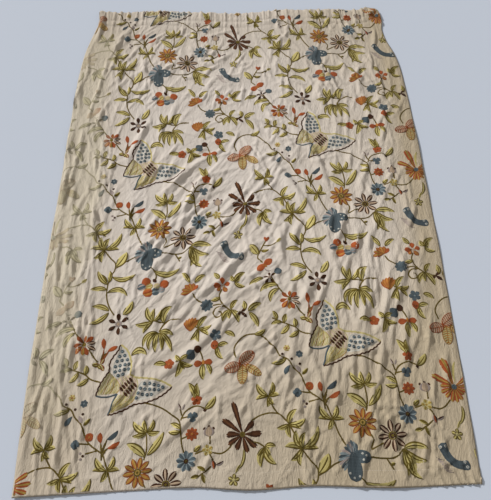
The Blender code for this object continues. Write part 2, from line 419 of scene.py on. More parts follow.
# %% Heights of the main folds
def hump(t):
    """A rounded hump, (1 - t^2)^2, that is exactly flat from t = 1 outwards on both sides."""
    return np.clip(1.0 - t * t, 0.0, None) ** 2


def ramp(value, start, end):
    """0 before the start, 1 past the end, and (value - start) / (end - start) between them."""
    return np.clip((value - start) / (end - start), 0.0, 1.0)


def crease_height(x, y, crease):
    """A ridge along a bowed line: hump across it, steeper on its right, tapering to its ends."""
    run_x = crease.x1 - crease.x0
    run_y = crease.y1 - crease.y0
    length = np.hypot(run_x, run_y)
    along = ((x - crease.x0) * run_x + (y - crease.y0) * run_y) / length**2
    inside = np.clip(along, 0.0, 1.0)
    taper = (4.0 * inside * (1.0 - inside)) ** 0.75
    side = ((x - crease.x0) * run_y - (y - crease.y0) * run_x) / length
    side = side - crease.bow * 4.0 * inside * (1.0 - inside)
    reach = np.where(side > 0.0, 0.6, 1.2) * crease.width
    return crease.height * taper * hump(side / reach)


def heading_depth(x, y):
    """How far a place lies below the heading's smooth edge: length / 2 + offset - y."""
    return PANEL_LENGTH / 2.0 + edge_offset(TOP_EDGE, x) - y


def hem_height(x, y):
    """How far a place lies above the bottom edge: y + length / 2 - offset."""
    return y + PANEL_LENGTH / 2.0 - edge_offset(BOTTOM_EDGE, x)


def side_roll_height(x, y):
    """The turned side edges: a low hump that runs just inside each of them."""
    left, right = sides_at(y + PANEL_LENGTH / 2.0)
    from_left = (x - left - SIDE_ROLL_INSET) / SIDE_ROLL_INSET
    from_right = (right - x - SIDE_ROLL_INSET) / SIDE_ROLL_INSET
    uneven = 0.7 + 0.3 * np.sin(9.0 * y + 1.0) * np.sin(23.0 * y)
    return SIDE_ROLL_HEIGHT * uneven * (hump(from_left) + hump(from_right))


def gather_height(x, y):
    """Gathers: the positive half of an uneven sine across, fading down the cloth."""
    depth = heading_depth(x, y)
    fan = 1.0 - 0.06 * np.clip(depth, 0.0, 0.3) / 0.3
    turns = fan * x / GATHER_PITCH + 0.35 * np.sin(29.0 * x) + 0.22 * np.sin(71.0 * x + 2.0)
    ridge = np.clip(np.sin(2.0 * np.pi * turns), 0.0, None) ** 2
    reach = GATHER_REACH * (1.0 + 0.6 * np.sin(37.0 * x + 1.0) * np.sin(11.0 * x))
    fade = hump(depth / (2.2 * reach))
    pinned = 1.0 - 0.6 * hump((depth - FRILL_DEPTH) / 0.010)
    pinned = pinned - 0.5 * hump((depth - FRILL_DEPTH - CASING_DEPTH) / 0.010)
    return GATHER_HEIGHT * ridge * fade * pinned


def pucker_height(x, y):
    """Puckers of the bottom hem: an uneven sine across, and a tight one at the right corner."""
    above = hem_height(x, y)
    turns = x / PUCKER_PITCH + 0.4 * np.sin(19.0 * x) + 0.3 * np.sin(53.0 * x)
    puckers = np.clip(np.sin(2.0 * np.pi * turns), 0.0, None) ** 2
    puckers = puckers * hump(above / (1.6 * HEM_DEPTH)) * PUCKER_HEIGHT
    from_right = PANEL_WIDTH / 2.0 - x
    near_corner = hump((from_right - 0.5 * CORNER_LENGTH) / CORNER_LENGTH)
    tilted = x + 0.35 * above
    crumple = np.clip(np.sin(2.0 * np.pi * tilted / CORNER_PITCH), 0.0, None) ** 2
    crumple = crumple * near_corner * hump(above / (1.4 * HEM_DEPTH)) * CORNER_HEIGHT
    return puckers + crumple


def main_folds(x, y):
    """All the main folds together, with their shallow skirts touching the surface."""
    height = side_roll_height(x, y) + gather_height(x, y) + pucker_height(x, y)
    for crease in CREASES:
        height = height + crease_height(x, y, crease)
    return np.clip(height - LIFT_OFF, 0.0, None)


print(len(CREASES), "creases in the main folds")

# %% [markdown]
# ## Fine wrinkles
#
# Old cotton is crinkled all over, and the crinkles run a different way in each part of the
# cloth: upright in the faded strip at the left, slanting where the middle was dragged, fanned
# out under the gathers. Each patch of cloth below says how many crinkles it has and which way
# they lean. Their exact places come from a seeded random generator, so they never change.

# %% Scatter fine wrinkles
Patch = namedtuple("Patch", "left right low high count lean spread length width height")
WRINKLE_PATCHES = (
    Patch(-0.61, -0.44, -0.82, 0.60, 170, 2, 9, 0.150, 0.0095, 0.0033),
    Patch(-0.44, -0.25, -0.80, 0.60, 120, -14, 20, 0.110, 0.0090, 0.0027),
    Patch(-0.32, 0.12, -0.62, 0.20, 210, -42, 12, 0.120, 0.0086, 0.0027),
    Patch(0.02, 0.34, -0.30, 0.40, 120, 24, 16, 0.110, 0.0090, 0.0026),
    Patch(0.12, 0.58, -0.80, -0.10, 150, -8, 12, 0.150, 0.0130, 0.0042),
    Patch(0.30, 0.58, -0.10, 0.60, 100, -4, 16, 0.130, 0.0115, 0.0034),
    Patch(-0.40, 0.40, -0.84, -0.60, 110, -40, 40, 0.080, 0.0085, 0.0026),
    Patch(-0.50, 0.00, 0.40, 0.80, 130, -25, 25, 0.085, 0.0082, 0.0030),
    Patch(0.00, 0.52, 0.40, 0.80, 130, 18, 28, 0.085, 0.0082, 0.0030),
    Patch(-0.20, 0.30, 0.15, 0.60, 90, -60, 35, 0.075, 0.0082, 0.0024),
    Patch(0.40, 0.57, -0.85, -0.72, 60, 10, 70, 0.050, 0.0075, 0.0030),
    Patch(-0.10, 0.40, -0.80, -0.40, 60, -25, 30, 0.090, 0.0110, 0.0034),
    Patch(-0.30, 0.10, -0.45, 0.10, 50, -40, 14, 0.150, 0.0120, 0.0042),
    Patch(-0.58, 0.58, -0.84, 0.78, 240, 0, 90, 0.050, 0.0068, 0.0017),
)
WRINKLE_SEED = 41


def scatter_wrinkles(patches, seed):
    """Small creases: even random places in each patch, normal random leans in degrees."""
    draw = np.random.default_rng(seed)
    found = []
    for patch in patches:
        x = draw.uniform(patch.left, patch.right, patch.count)
        y = draw.uniform(patch.low, patch.high, patch.count)
        lean = np.radians(draw.normal(patch.lean, patch.spread, patch.count))
        half = patch.length * draw.uniform(0.25, 0.75, patch.count)
        bow = draw.normal(0.0, 0.08, patch.count) * half
        width = patch.width * draw.uniform(0.7, 1.5, patch.count)
        height = patch.height * draw.uniform(0.4, 1.4, patch.count)
        step_x = -np.sin(lean) * half
        step_y = np.cos(lean) * half
        rows = zip(x - step_x, y - step_y, x + step_x, y + step_y, bow, width, height)
        found.extend(Crease(*row) for row in rows)
    return found


WRINKLES = scatter_wrinkles(WRINKLE_PATCHES, WRINKLE_SEED)
print(len(WRINKLES), "fine wrinkles")

# %% [markdown]
# ## Laying the cloth
#
# The cloth is one surface: a grid of rows and columns over the flat cloth, set down on the
# folds. Its side edges, its bottom hem and its heading are turned under, so the grid starts on
# the underside, comes round each folded edge and ends on the underside again. That closes the
# edge as a real hem does, and needs no second layer under the middle.

# %% Stations along the cloth
CLOTH_COLUMNS = 300
CLOTH_ROWS = 316
TURNED_SIDE = 0.020
TURNED_HEM = 0.042
TURNED_HEADING = 0.076


def turned_stations(count, start_turn, end_turn, length):
    """Places along the cloth with a turned strip at each end, and how far each lies under.

    Place runs from 0 to 1 on the upper side. A turned strip is passed from its cut edge to the
    fold, and sink is 1 on the underside, 0.5 on the fold and 0 on the upper side.
    """
    start = np.array([start_turn, 0.6 * start_turn, 0.0012]) / length
    end = 1.0 - np.array([0.0012, 0.6 * end_turn, end_turn]) / length
    upper = np.linspace(0.0, 1.0, count + 1)
    place = np.concatenate([start, [0.0], upper[1:-1], [1.0], end])
    sink = np.concatenate([[1.0, 1.0, 0.95, 0.5], np.zeros(count - 1), [0.5, 0.95, 1.0, 1.0]])
    return place, sink


print("a grid of", CLOTH_ROWS, "by", CLOTH_COLUMNS, "faces on the upper side")

# %% Small heights over the main folds
SWELL_HEIGHT = 0.0030
FRILL_PITCH = 0.0150
FRILL_HEIGHT = 0.0042
FRILL_REACH = 0.150
GROOVE_WIDTH = 0.007
GROOVE_DEPTH = 0.0010
LAYER_STEP = 0.004


def fine_height(x, y):
    """Every fine wrinkle, each worked out only inside the box that it can reach."""
    height = np.zeros_like(x)
    for wrinkle in WRINKLES:
        reach = 1.3 * wrinkle.width + abs(wrinkle.bow)
        near = (x > min(wrinkle.x0, wrinkle.x1) - reach) & (x < max(wrinkle.x0, wrinkle.x1) + reach)
        near &= (y > min(wrinkle.y0, wrinkle.y1) - reach) & (y < max(wrinkle.y0, wrinkle.y1) + reach)
        height[near] += crease_height(x[near], y[near], wrinkle)
    return height


def frill_height(x, y):
    """Tight uneven gathers above and just below the casing, and its two stitched grooves."""
    depth = heading_depth(x, y)
    turns = x / FRILL_PITCH + 0.45 * np.sin(61.0 * x) + 0.30 * np.sin(143.0 * x + 1.0 + 9.0 * depth)
    ridge = 0.5 + 0.5 * np.sin(2.0 * np.pi * turns)
    uneven = 0.65 + 0.35 * np.sin(47.0 * x + 2.0) * np.sin(17.0 * x)
    fade = hump(depth / FRILL_REACH)
    groove = hump((depth - FRILL_DEPTH) / GROOVE_WIDTH)
    groove = groove + hump((depth - FRILL_DEPTH - CASING_DEPTH) / GROOVE_WIDTH)
    return FRILL_HEIGHT * ridge * uneven * fade * (1.0 - 0.7 * groove) - GROOVE_DEPTH * groove


def swell(x, y):
    """Broad low swells, a product of slow slanting sines, never below the surface."""
    first = np.sin(11.0 * x + 6.0 * y + 0.5) * np.sin(4.0 * x - 9.0 * y + 1.2)
    second = np.sin(23.0 * x - 13.0 * y) * np.sin(9.0 * x + 19.0 * y + 2.0)
    return SWELL_HEIGHT * np.clip(0.5 + 0.6 * first + 0.5 * second, 0.0, None)


def cloth_top(x, y):
    """The upper side: folds, swells, wrinkles and the doubled hems over one cloth thickness."""
    in_hem = np.clip((HEM_DEPTH - hem_height(x, y)) / LAYER_STEP, 0.0, 1.0)
    in_heading = np.clip((FRILL_DEPTH + CASING_DEPTH - heading_depth(x, y)) / LAYER_STEP, 0.0, 1.0)
    layers = CLOTH_THICKNESS + HEM_EXTRA * (in_hem + in_heading)
    return main_folds(x, y) + fine_height(x, y) + swell(x, y) + frill_height(x, y) + layers


print("frill", FRILL_HEIGHT * 1000, "mm high, swells", SWELL_HEIGHT * 1000, "mm")

# %% Set the grid down on the folds
U_PLACE, U_SINK = turned_stations(CLOTH_COLUMNS, TURNED_SIDE, TURNED_SIDE, PANEL_WIDTH)
V_PLACE, V_SINK = turned_stations(CLOTH_ROWS, TURNED_HEM, TURNED_HEADING, PANEL_LENGTH)
u_grid, v_grid = np.meshgrid(U_PLACE, V_PLACE)
cloth_x, cloth_y = plan_of((u_grid - 0.5) * PANEL_WIDTH, (v_grid - 0.5) * PANEL_LENGTH)
cloth_z = cloth_top(cloth_x, cloth_y)
under = np.maximum(U_SINK[None, :], V_SINK[:, None])
print("cloth rises", round(float(cloth_z.max()) * 1000, 1), "mm at most")

# %% [markdown]
# A grid of points becomes a mesh by giving Blender three flat arrays: the places, the corners
# of each face, and where each face starts. The same helper makes every piece here. It also
# stores a UV map, which the weave and the stitches follow, and named numbers for each point.
# Those numbers say how faded or yellowed a place is, where shade is painted in towards the lower
# right, which way its crinkles run, and how light a stitched shape is.

# %% Turn arrays into a mesh
def mesh_from_arrays(name, points, quads, uv, values):
    """A mesh of four-cornered faces, with a UV map and named numbers on its points."""
    mesh = bpy.data.meshes.new(name)
    mesh.vertices.add(len(points))
    mesh.vertices.foreach_set("co", points.astype(np.float32).ravel())
    mesh.loops.add(quads.size)
    mesh.loops.foreach_set("vertex_index", quads.astype(np.int32).ravel())
    mesh.polygons.add(len(quads))
    mesh.polygons.foreach_set("loop_start", np.arange(0, quads.size, 4, dtype=np.int32))
    mesh.update(calc_edges=True)
    layer = mesh.uv_layers.new(name="laid")
    layer.data.foreach_set("uv", uv[quads.ravel()].astype(np.float32).ravel())
    for key, numbers in values.items():
        held = mesh.attributes.new(key, "FLOAT", "POINT")
        held.data.foreach_set("value", numbers.astype(np.float32))
    mesh.validate()
    mesh.shade_smooth()
    piece = bpy.data.objects.new(name, mesh)
    bpy.context.scene.collection.objects.link(piece)
    return piece


def grid_quads(rows, columns):
    """The corners of each cell of a grid of points, turning to the left seen from above."""
    start = (np.arange(rows - 1)[:, None] * columns + np.arange(columns - 1)[None, :]).ravel()
    return np.stack([start, start + 1, start + 1 + columns, start + columns], axis=1)


print("two by two points make", len(grid_quads(2, 2)), "face")

# %% How faded, yellowed, painted with shade and slanting each place is
FADED_BORDER = -0.475
FADED_LEAN = 0.045
FADED_BLUR = 0.030
SLANT_MIDDLE = (-0.12, -0.20)
SLANT_REACH = (0.42, 0.62)


def faded_share(x, y):
    """How faded the cloth is: 1 in the strip that hung in the sun, smoothly 0 to its right.

    The strip narrows towards the hem, its border wavers, and both left corners kept their
    colour.
    """
    border = FADED_BORDER - FADED_LEAN * ramp(y, -0.2, -0.6)
    border = border + 0.012 * np.sin(9.0 * y + 1.0) + 0.006 * np.sin(31.0 * y)
    t = ramp(x, border + FADED_BLUR, border - FADED_BLUR)
    kept_corner = ramp(y, -0.66, -0.74) + ramp(y, 0.70, 0.76)
    return t * t * (3.0 - 2.0 * t) * (1.0 - kept_corner.clip(0.0, 1.0))


def yellowed_and_shaded_share(x, y):
    """How yellowed the cloth is, with painted shade where the light falls off towards the lower right, from 0 to 1: a
    sum of shares, each rising over a stretch.
    """
    # These shares paint shade as well as yellowing: the cloth darkens towards the lower right, where the light falls
    # off.
    lower = 0.42 * ramp(y, -0.25, -0.75)
    corner = 0.78 * ramp(x, -0.35, 0.45) * ramp(y, -0.05, -0.65)
    right_edge = 0.75 * ramp(x, 0.42, 0.58) ** 2
    left_edge = 0.30 * ramp(x, -0.36, -0.48)
    top_end = 0.30 * ramp(y, 0.45, 0.75)
    right_side = 0.30 * ramp(x, 0.10, 0.35) * ramp(y, -0.30, 0.00)
    return np.clip(lower + corner + right_edge + left_edge + top_end + right_side, 0.0, 1.0)


def slant_share(x, y):
    """Where the fine crinkles slant, round the middle left: two humps multiplied."""
    across = hump((x - SLANT_MIDDLE[0]) / SLANT_REACH[0])
    along = hump((y - SLANT_MIDDLE[1]) / SLANT_REACH[1])
    return np.clip(2.0 * across * along, 0.0, 1.0)


# This share holds the yellowing and the painted shade of the lower right corner.
print("the lower right corner is yellowed by", float(yellowed_and_shaded_share(0.6, -0.8)))

# %% Make the cloth
UNDER_DROP = 0.0011

lying_z = np.where(under > 0.0, cloth_z - under * UNDER_DROP, cloth_z)
cloth_points = np.stack([cloth_x.ravel(), cloth_y.ravel(), lying_z.ravel()], axis=1)
cloth_uv = np.stack([u_grid.ravel() * PANEL_WIDTH, v_grid.ravel() * PANEL_LENGTH], axis=1)
cloth = mesh_from_arrays(
    "cotton_cloth",
    cloth_points,
    grid_quads(len(V_PLACE), len(U_PLACE)),
    cloth_uv,
    {
        "faded": faded_share(cloth_x, cloth_y).ravel(),
        "yellowed_and_shaded": yellowed_and_shaded_share(cloth_x, cloth_y).ravel(),
        "slant": slant_share(cloth_x, cloth_y).ravel(),
    },
)
print(len(cloth.data.polygons), "faces in the cloth")

# %% [markdown]
# ## Cotton
#
# Close up the cotton is a plain weave with thick and thin threads. From further off it is a warm
# grey white that has yellowed towards its edges and in the strip that hung in the sun, and painted
# shade darkens it further towards the lower right, where the light falls off. The weave and the
# ageing are node groups. The cloth, the wool and the thread all use the same ageing.

# %% Helpers for node groups
def new_group(name, inputs, outputs):
    """A shader node group with named number or colour sockets."""
    group = bpy.data.node_groups.new(name, "ShaderNodeTree")
    for key, kind, value in inputs:
        socket = group.interface.new_socket(key, in_out="INPUT", socket_type=kind)
        socket.default_value = value
    for key, kind in outputs:
        group.interface.new_socket(key, in_out="OUTPUT", socket_type=kind)
    return group, group.nodes.new("NodeGroupInput"), group.nodes.new("NodeGroupOutput")


def add_node(tree, kind, links=(), **settings):
    """A node with its settings, and its inputs linked or set by name or number."""
    node = tree.nodes.new(kind)
    for key, value in settings.items():
        setattr(node, key, value)
    for key, source in links:
        if isinstance(source, bpy.types.NodeSocket):
            tree.links.new(source, node.inputs[key])
        else:
            node.inputs[key].default_value = source
    return node


def math(tree, operation, first, second=0.0, third=0.0):
    """The output of one operation on up to three numbers, each a value or a socket."""
    values = enumerate((first, second, third))
    return add_node(tree, "ShaderNodeMath", values, operation=operation).outputs[0]


def mix_color(tree, share, first, second, blend="MIX"):
    """The output of a colour mix: first (1 - share) + second share, or another blend."""
    values = ((0, share), (6, first), (7, second))
    return add_node(tree, "ShaderNodeMix", values, data_type="RGBA", blend_type=blend).outputs[2]


def held_number(tree, name):
    """The output that reads the number that a mesh holds under this name."""
    return add_node(tree, "ShaderNodeAttribute", attribute_name=name).outputs["Fac"]


def noise_value(tree, place, scale, *settings):
    """The output of a noise of this scale at a place, with further settings as pairs."""
    values = (("Vector", place), ("Scale", scale), *settings)
    return add_node(tree, "ShaderNodeTexNoise", values).outputs["Fac"]


def linear(red, green, blue):
    """A colour as it is seen on a screen, 0 to 255, as the linear colour that nodes use."""
    seen = np.array([red, green, blue]) / 255.0
    light = np.where(seen <= 0.04045, seen / 12.92, ((seen + 0.055) / 1.055) ** 2.4)
    return (*light.tolist(), 1.0)


print("node helpers ready")

# %% Node groups for weave and ageing
THREAD_SPACING = 0.0009
SLUB_SCALE = 420.0
BLOTCH_SCALE = 5.0
PATCH_SCALE = 42.0


def weave_group():
    """Threads of both ways: sin(pi x / pitch) sin(pi y / pitch), over and under by turns.

    Where the product is over 0 one thread is on top, and where it is under 0 the other. Slubs
    are noise that is stretched along each thread.
    """
    group, given, made = new_group(
        "plain_weave",
        [("Pitch", "NodeSocketFloat", THREAD_SPACING), ("Slub", "NodeSocketFloat", 0.5)],
        [("Height", "NodeSocketFloat"), ("Slubs", "NodeSocketFloat")],
    )
    place = add_node(group, "ShaderNodeUVMap", uv_map="laid").outputs["UV"]
    axes = add_node(group, "ShaderNodeSeparateXYZ", [("Vector", place)])
    waves = []
    for axis in ("X", "Y"):
        turns = math(group, "DIVIDE", axes.outputs[axis], given.outputs["Pitch"])
        waves.append(math(group, "SINE", math(group, "MULTIPLY", turns, np.pi)))
    over = math(group, "MULTIPLY", waves[0], waves[1])
    slubs = []
    for scale in ((1.0, 0.06, 1.0), (0.06, 1.0, 1.0)):
        turned = add_node(group, "ShaderNodeMapping", [("Vector", place), ("Scale", scale)])
        slubs.append(noise_value(group, turned.outputs[0], SLUB_SCALE, ("Detail", 2.0)))
    slub = math(group, "MULTIPLY", math(group, "ADD", slubs[0], slubs[1]), 0.5)
    thick = math(group, "MULTIPLY", slub, given.outputs["Slub"])
    height = math(group, "ADD", math(group, "MULTIPLY", over, 0.5), thick)
    group.links.new(height, made.inputs["Height"])
    group.links.new(slub, made.inputs["Slubs"])
    return group


def ageing_group():
    """The piece's own faded number, broken up by noise, and a slower noise for blotches."""
    group, given, made = new_group(
        "ageing",
        [("Patchiness", "NodeSocketFloat", 0.3)],
        [("Faded", "NodeSocketFloat"), ("Blotch", "NodeSocketFloat")],
    )
    place = add_node(group, "ShaderNodeTexCoord").outputs["Object"]
    blotch = noise_value(group, place, BLOTCH_SCALE)
    held = held_number(group, "faded")
    shift = math(group, "SUBTRACT", noise_value(group, place, PATCH_SCALE), 0.5)
    shift = math(group, "MULTIPLY", shift, given.outputs["Patchiness"])
    broken = math(group, "ADD", held, math(group, "MULTIPLY", shift, held))
    clipped = add_node(group, "ShaderNodeClamp", [("Value", broken)]).outputs[0]
    group.links.new(clipped, made.inputs["Faded"])
    group.links.new(blotch, made.inputs["Blotch"])
    return group


WEAVE = weave_group()
AGEING = ageing_group()
print("groups:", WEAVE.name, AGEING.name)

# %% [markdown]
# The cotton's colour runs from a warm grey white to beige where it faded and to a darker beige
# where it yellowed and where shade is painted in towards the lower right. Besides the weave, a
# second bump gives the crinkles that are too small for the mesh: noise folded at its middle value
# makes ridges, as pressed cloth has, and a mapping stretches them along the way that they run.
# They run up the cloth, but slant round the middle left, so two such bumps are mixed by a number
# that the mesh keeps.

# %% Cotton material
COTTON = linear(207, 198, 189)
COTTON_BLOTCH = linear(202, 190, 177)
COTTON_FADED = linear(200, 190, 171)
# The darker beige of yellowing and of painted shade towards the lower right.
COTTON_YELLOWED_AND_SHADED = linear(170, 155, 130)
COARSE_CRINKLES = 34.0
FINE_CRINKLES = 72.0
FINE_SHARE = 0.62
CRINKLE_STRETCH = 2.7
UPRIGHT = np.radians(-4.0)
SLANTED = np.radians(-43.0)
CRINKLE_NOISE = (("Detail", 4.0), ("Roughness", 0.55), ("Distortion", 1.1))
CRINKLE_STRENGTH = 0.52
CRINKLE_DEPTH = 0.0026
WEAVE_STRENGTH = 0.35
WEAVE_DEPTH = 0.0003
COTTON_FINISH = (("Roughness", 0.92), ("Sheen Weight", 0.08), ("Sheen Roughness", 0.6))


def crinkle_height(tree, place, lean, scale):
    """(1 - |2 noise - 1|)^5: a sharp ridge wherever noise crosses its middle value."""
    way = [("Vector", place), ("Rotation", (0.0, 0.0, lean)), ("Scale", (1.0, CRINKLE_STRETCH, 1.0))]
    turned = add_node(tree, "ShaderNodeMapping", way, vector_type="TEXTURE")
    noise = noise_value(tree, turned.outputs[0], scale, *CRINKLE_NOISE)
    centred = math(tree, "ABSOLUTE", math(tree, "MULTIPLY_ADD", noise, 2.0, -1.0))
    return math(tree, "POWER", math(tree, "SUBTRACT", 1.0, centred), 5.0)


def cotton_material():
    """Cotton whose colour fades, yellows and takes painted shade, with the crinkles' bump under the weave's."""
    material = new_material("ecru_cotton", COTTON_FINISH)
    tree = material.node_tree
    surface = tree.nodes["Principled BSDF"]
    weave = add_node(tree, "ShaderNodeGroup", node_tree=WEAVE)
    ageing = add_node(tree, "ShaderNodeGroup", node_tree=AGEING)
    slant = held_number(tree, "slant")
    place = add_node(tree, "ShaderNodeTexCoord").outputs["Object"]
    color = mix_color(tree, ageing.outputs["Blotch"], COTTON, COTTON_BLOTCH)
    color = mix_color(tree, ageing.outputs["Faded"], color, COTTON_FADED)
    # Yellowing and painted shade towards the lower right: a darker beige.
    color = mix_color(tree, held_number(tree, "yellowed_and_shaded"), color, COTTON_YELLOWED_AND_SHADED)
    slubbed = math(tree, "MULTIPLY_ADD", weave.outputs["Slubs"], 0.16, 0.92)
    channels = [(channel, slubbed) for channel in ("Red", "Green", "Blue")]
    grey = add_node(tree, "ShaderNodeCombineColor", channels)
    color = mix_color(tree, 1.0, color, grey.outputs[0], "MULTIPLY")
    tree.links.new(color, surface.inputs["Base Color"])
    layers = []
    for scale in (COARSE_CRINKLES, FINE_CRINKLES):
        ridges = add_node(tree, "ShaderNodeMix", [("Factor", slant)])
        tree.links.new(crinkle_height(tree, place, UPRIGHT, scale), ridges.inputs[2])
        tree.links.new(crinkle_height(tree, place, SLANTED, scale), ridges.inputs[3])
        layers.append(ridges.outputs[0])
    crinkles = math(tree, "MULTIPLY_ADD", layers[1], FINE_SHARE, layers[0])
    relief = [("Height", crinkles), ("Strength", CRINKLE_STRENGTH), ("Distance", CRINKLE_DEPTH)]
    soft = add_node(tree, "ShaderNodeBump", relief)
    relief = [("Height", weave.outputs["Height"]), ("Strength", WEAVE_STRENGTH), ("Distance", WEAVE_DEPTH)]
    threads = add_node(tree, "ShaderNodeBump", [*relief, ("Normal", soft.outputs[0])])
    tree.links.new(threads.outputs[0], surface.inputs["Normal"])
    return material


cloth.data.materials.append(cotton_material())
print("cotton on", cloth.name)

# %% [markdown]
# ## Chain stitch
#
# Crewel of this kind is worked with a hook in chain stitch, row beside row, in wool about a
# millimetre thick. Every shape here is built from such rows. A row is a strip with three points
# across it: a low edge, a raised middle and a low edge. Its UV runs one unit for each stitch
# along it and from 0 to 1 across it, so one bump pattern draws the links of the chain on all of
# them. Sizes in this part are millimetres on the flat cloth.

# %% Rows of stitches
STITCH_LENGTH = 3.4
ROW_CREST = 1.15
ROW_VALLEY = 0.40
ROW_EDGE = -0.30
SMALLEST_HALF_ROW = 0.3
PLUMP_PER_MM = 1.1
LEAST_PLUMP = 0.35
SHAPE_SPREAD = 0.5
ROW_SPREAD = 0.25
LINE_STEP = 4.5

Row = namedtuple("Row", "yarn points lift uv shade")
shade_draw = np.random.default_rng(11)


def run_along(line):
    """The length run at each point of a line: 0, then its chords added up."""
    return np.concatenate([[0.0], np.cumsum(np.hypot(*np.diff(line, axis=0).T))])


def yarn_line(points, step=LINE_STEP):
    """A smooth line through the points in even steps, from smooth_through on chord length."""
    points = np.asarray(points, dtype=float)
    stations = run_along(points)
    at = np.linspace(0.0, stations[-1], max(3, round(stations[-1] / step)) + 1)
    return np.stack([smooth_through(stations, points[:, k], at) for k in (0, 1)], axis=1)


def bowed_line(start, end, bow, step=LINE_STEP):
    """start + s (end - start) + 4 s (1 - s) bow, with the bow to the right of the way."""
    start = np.asarray(start, dtype=float)
    run = np.asarray(end, dtype=float) - start
    length = np.hypot(*run)
    s = np.linspace(0.0, 1.0, max(4, round(length / step)) + 1)[:, None]
    right = np.array([run[1], -run[0]]) / length
    return start + s * run + 4.0 * s * (1.0 - s) * bow * right


def to_the_right(line):
    """The unit vector to the right of the way, at each point of a line."""
    ahead = np.gradient(line, axis=0)
    return np.stack([ahead[:, 1], -ahead[:, 0]], axis=1) / np.hypot(*ahead.T)[:, None]


def sewn_rows(line, half_width, yarns, layer=0.0):
    """Rows side by side over a line: row k covers -w + 2wk/n to -w + 2w(k + 1)/n across it.

    A row's crest is lower where the row is narrow, and its tone is the shape's with its own.
    """
    right = to_the_right(line)
    half_width = np.maximum(np.broadcast_to(half_width, len(line)), SMALLEST_HALF_ROW)
    run = run_along(line)
    across = np.linspace(-1.0, 1.0, 2 * len(yarns) + 1)
    plump = np.clip(PLUMP_PER_MM * half_width / len(yarns), LEAST_PLUMP, 1.0)
    tone = shade_draw.normal(0.0, SHAPE_SPREAD)
    rows = []
    for k, yarn in enumerate(yarns):
        sides = half_width[:, None] * across[None, 2 * k:2 * k + 3]
        points = line[:, None, :] + sides[:, :, None] * right[:, None, :]
        left_low = ROW_EDGE if k == 0 else ROW_VALLEY
        right_low = ROW_EDGE if k == len(yarns) - 1 else ROW_VALLEY
        lift = layer + plump[:, None] * np.array([left_low, ROW_CREST, right_low])[None, :]
        uv = np.stack(np.broadcast_arrays(run[:, None] / STITCH_LENGTH, [0.0, 0.5, 1.0]), axis=2)
        shade = np.full(lift.shape, tone + shade_draw.normal(0.0, ROW_SPREAD))
        rows.append(Row(yarn, points, lift, uv, shade))
    return rows


print("stitches", STITCH_LENGTH, "mm long, on rows up to", ROW_CREST, "mm high")

# %% [markdown]
# ## Shapes the rows fill
#
# A stem is one row. A leaf or petal is several rows along its middle line, with a width that
# swells and runs to a point: sin(pi s^belly)^fullness, where s goes from 0 at the root to 1 at
# the tip. A belly over 1 puts the widest place near the tip, as in a petal. Rings of rows fill
# the heart of a flower, and rows side by side fill a berry.

# %% Stem, blade and leaf
LEAF_STROKE = 4.9
STROKE_LIFT = 0.95
STROKE_FULLNESS = 0.35
MIDRIB_REACH = 0.84
MIDRIB_SHARE = 0.72
FAR_REACH = 0.5
FAR_SHARE = 0.45
LEAF_BELLY = 0.9
LEAF_FULLNESS = 0.75
LEAF_PLUMPNESS = 1.75
STEM_WIDTH = 5.6
OVERLAY = 0.55


def stem(points, yarn="stem", width=STEM_WIDTH, layer=0.0):
    """One row of even width along the smooth line through the points."""
    return sewn_rows(yarn_line(points), 0.5 * width, (yarn,), layer)


def swelling(line, width, belly=1.0, fullness=0.5):
    """The half width along a line, 0.5 width sin(pi s^belly)^fullness, with s from 0 to 1."""
    s = np.linspace(0.0, 1.0, len(line))
    return 0.5 * width * np.sin(np.pi * s**belly).clip(0.0) ** fullness


def blade(start, end, width, yarns, bow=0.0, belly=LEAF_BELLY, fullness=LEAF_FULLNESS, layer=0.12):
    """Rows side by side along a bowed line, as wide as swelling says."""
    line = bowed_line(start, end, bow)
    return sewn_rows(line, swelling(line, width, belly, fullness), yarns, layer)


def leaf_rows(start, end, width, bow, dark_side):
    """Two light rows, and over them a dark stroke on one edge, a midrib and half a far edge."""
    line = bowed_line(start, end, bow)
    s = np.linspace(0.0, 1.0, len(line))
    half = swelling(line, width, LEAF_BELLY, LEAF_FULLNESS)
    stroke = swelling(line, LEAF_STROKE, 1.0, STROKE_FULLNESS)
    edge = dark_side * (0.92 * half - 0.5 * stroke)[:, None] * to_the_right(line)
    rows = sewn_rows(line, half, ("lime", "lime"))
    rows += sewn_rows(line + edge, stroke, ("olive",), STROKE_LIFT)
    midrib = s < MIDRIB_REACH
    rows += sewn_rows(line[midrib], MIDRIB_SHARE * stroke[midrib], ("olive",), STROKE_LIFT)
    far = s < FAR_REACH
    rows += sewn_rows((line - edge)[far], FAR_SHARE * stroke[far], ("olive",), STROKE_LIFT)
    return rows


print("a leaf is widest at", round(0.5 ** (1.0 / LEAF_BELLY), 2), "of its length")

# %% Rounds, rosettes, outlines and fills
SCALLOP_PITCH = 14.0


def ring(x, y, inner, outer, yarn, layer):
    """One row round a circle: (x + r cos(turn), y + r sin(turn)), r halfway from inner to outer."""
    middle = 0.5 * (inner + outer)
    turn = np.linspace(0.0, 2.0 * np.pi, max(8, round(1.4 * middle)) + 1)
    line = np.stack([x + middle * np.cos(turn), y + middle * np.sin(turn)], axis=1)
    return sewn_rows(line, 0.5 * (outer - inner), (yarn,), layer)


def ringed_round(x, y, radius, yarns, layer=0.12):
    """A filled round: rings of equal width from the middle outwards, one for each yarn."""
    edges = np.linspace(0.0, radius, len(yarns) + 1)
    rows = []
    for inner, outer, yarn in zip(edges[:-1], edges[1:], yarns):
        rows += ring(x, y, inner, outer, yarn, layer)
    return rows


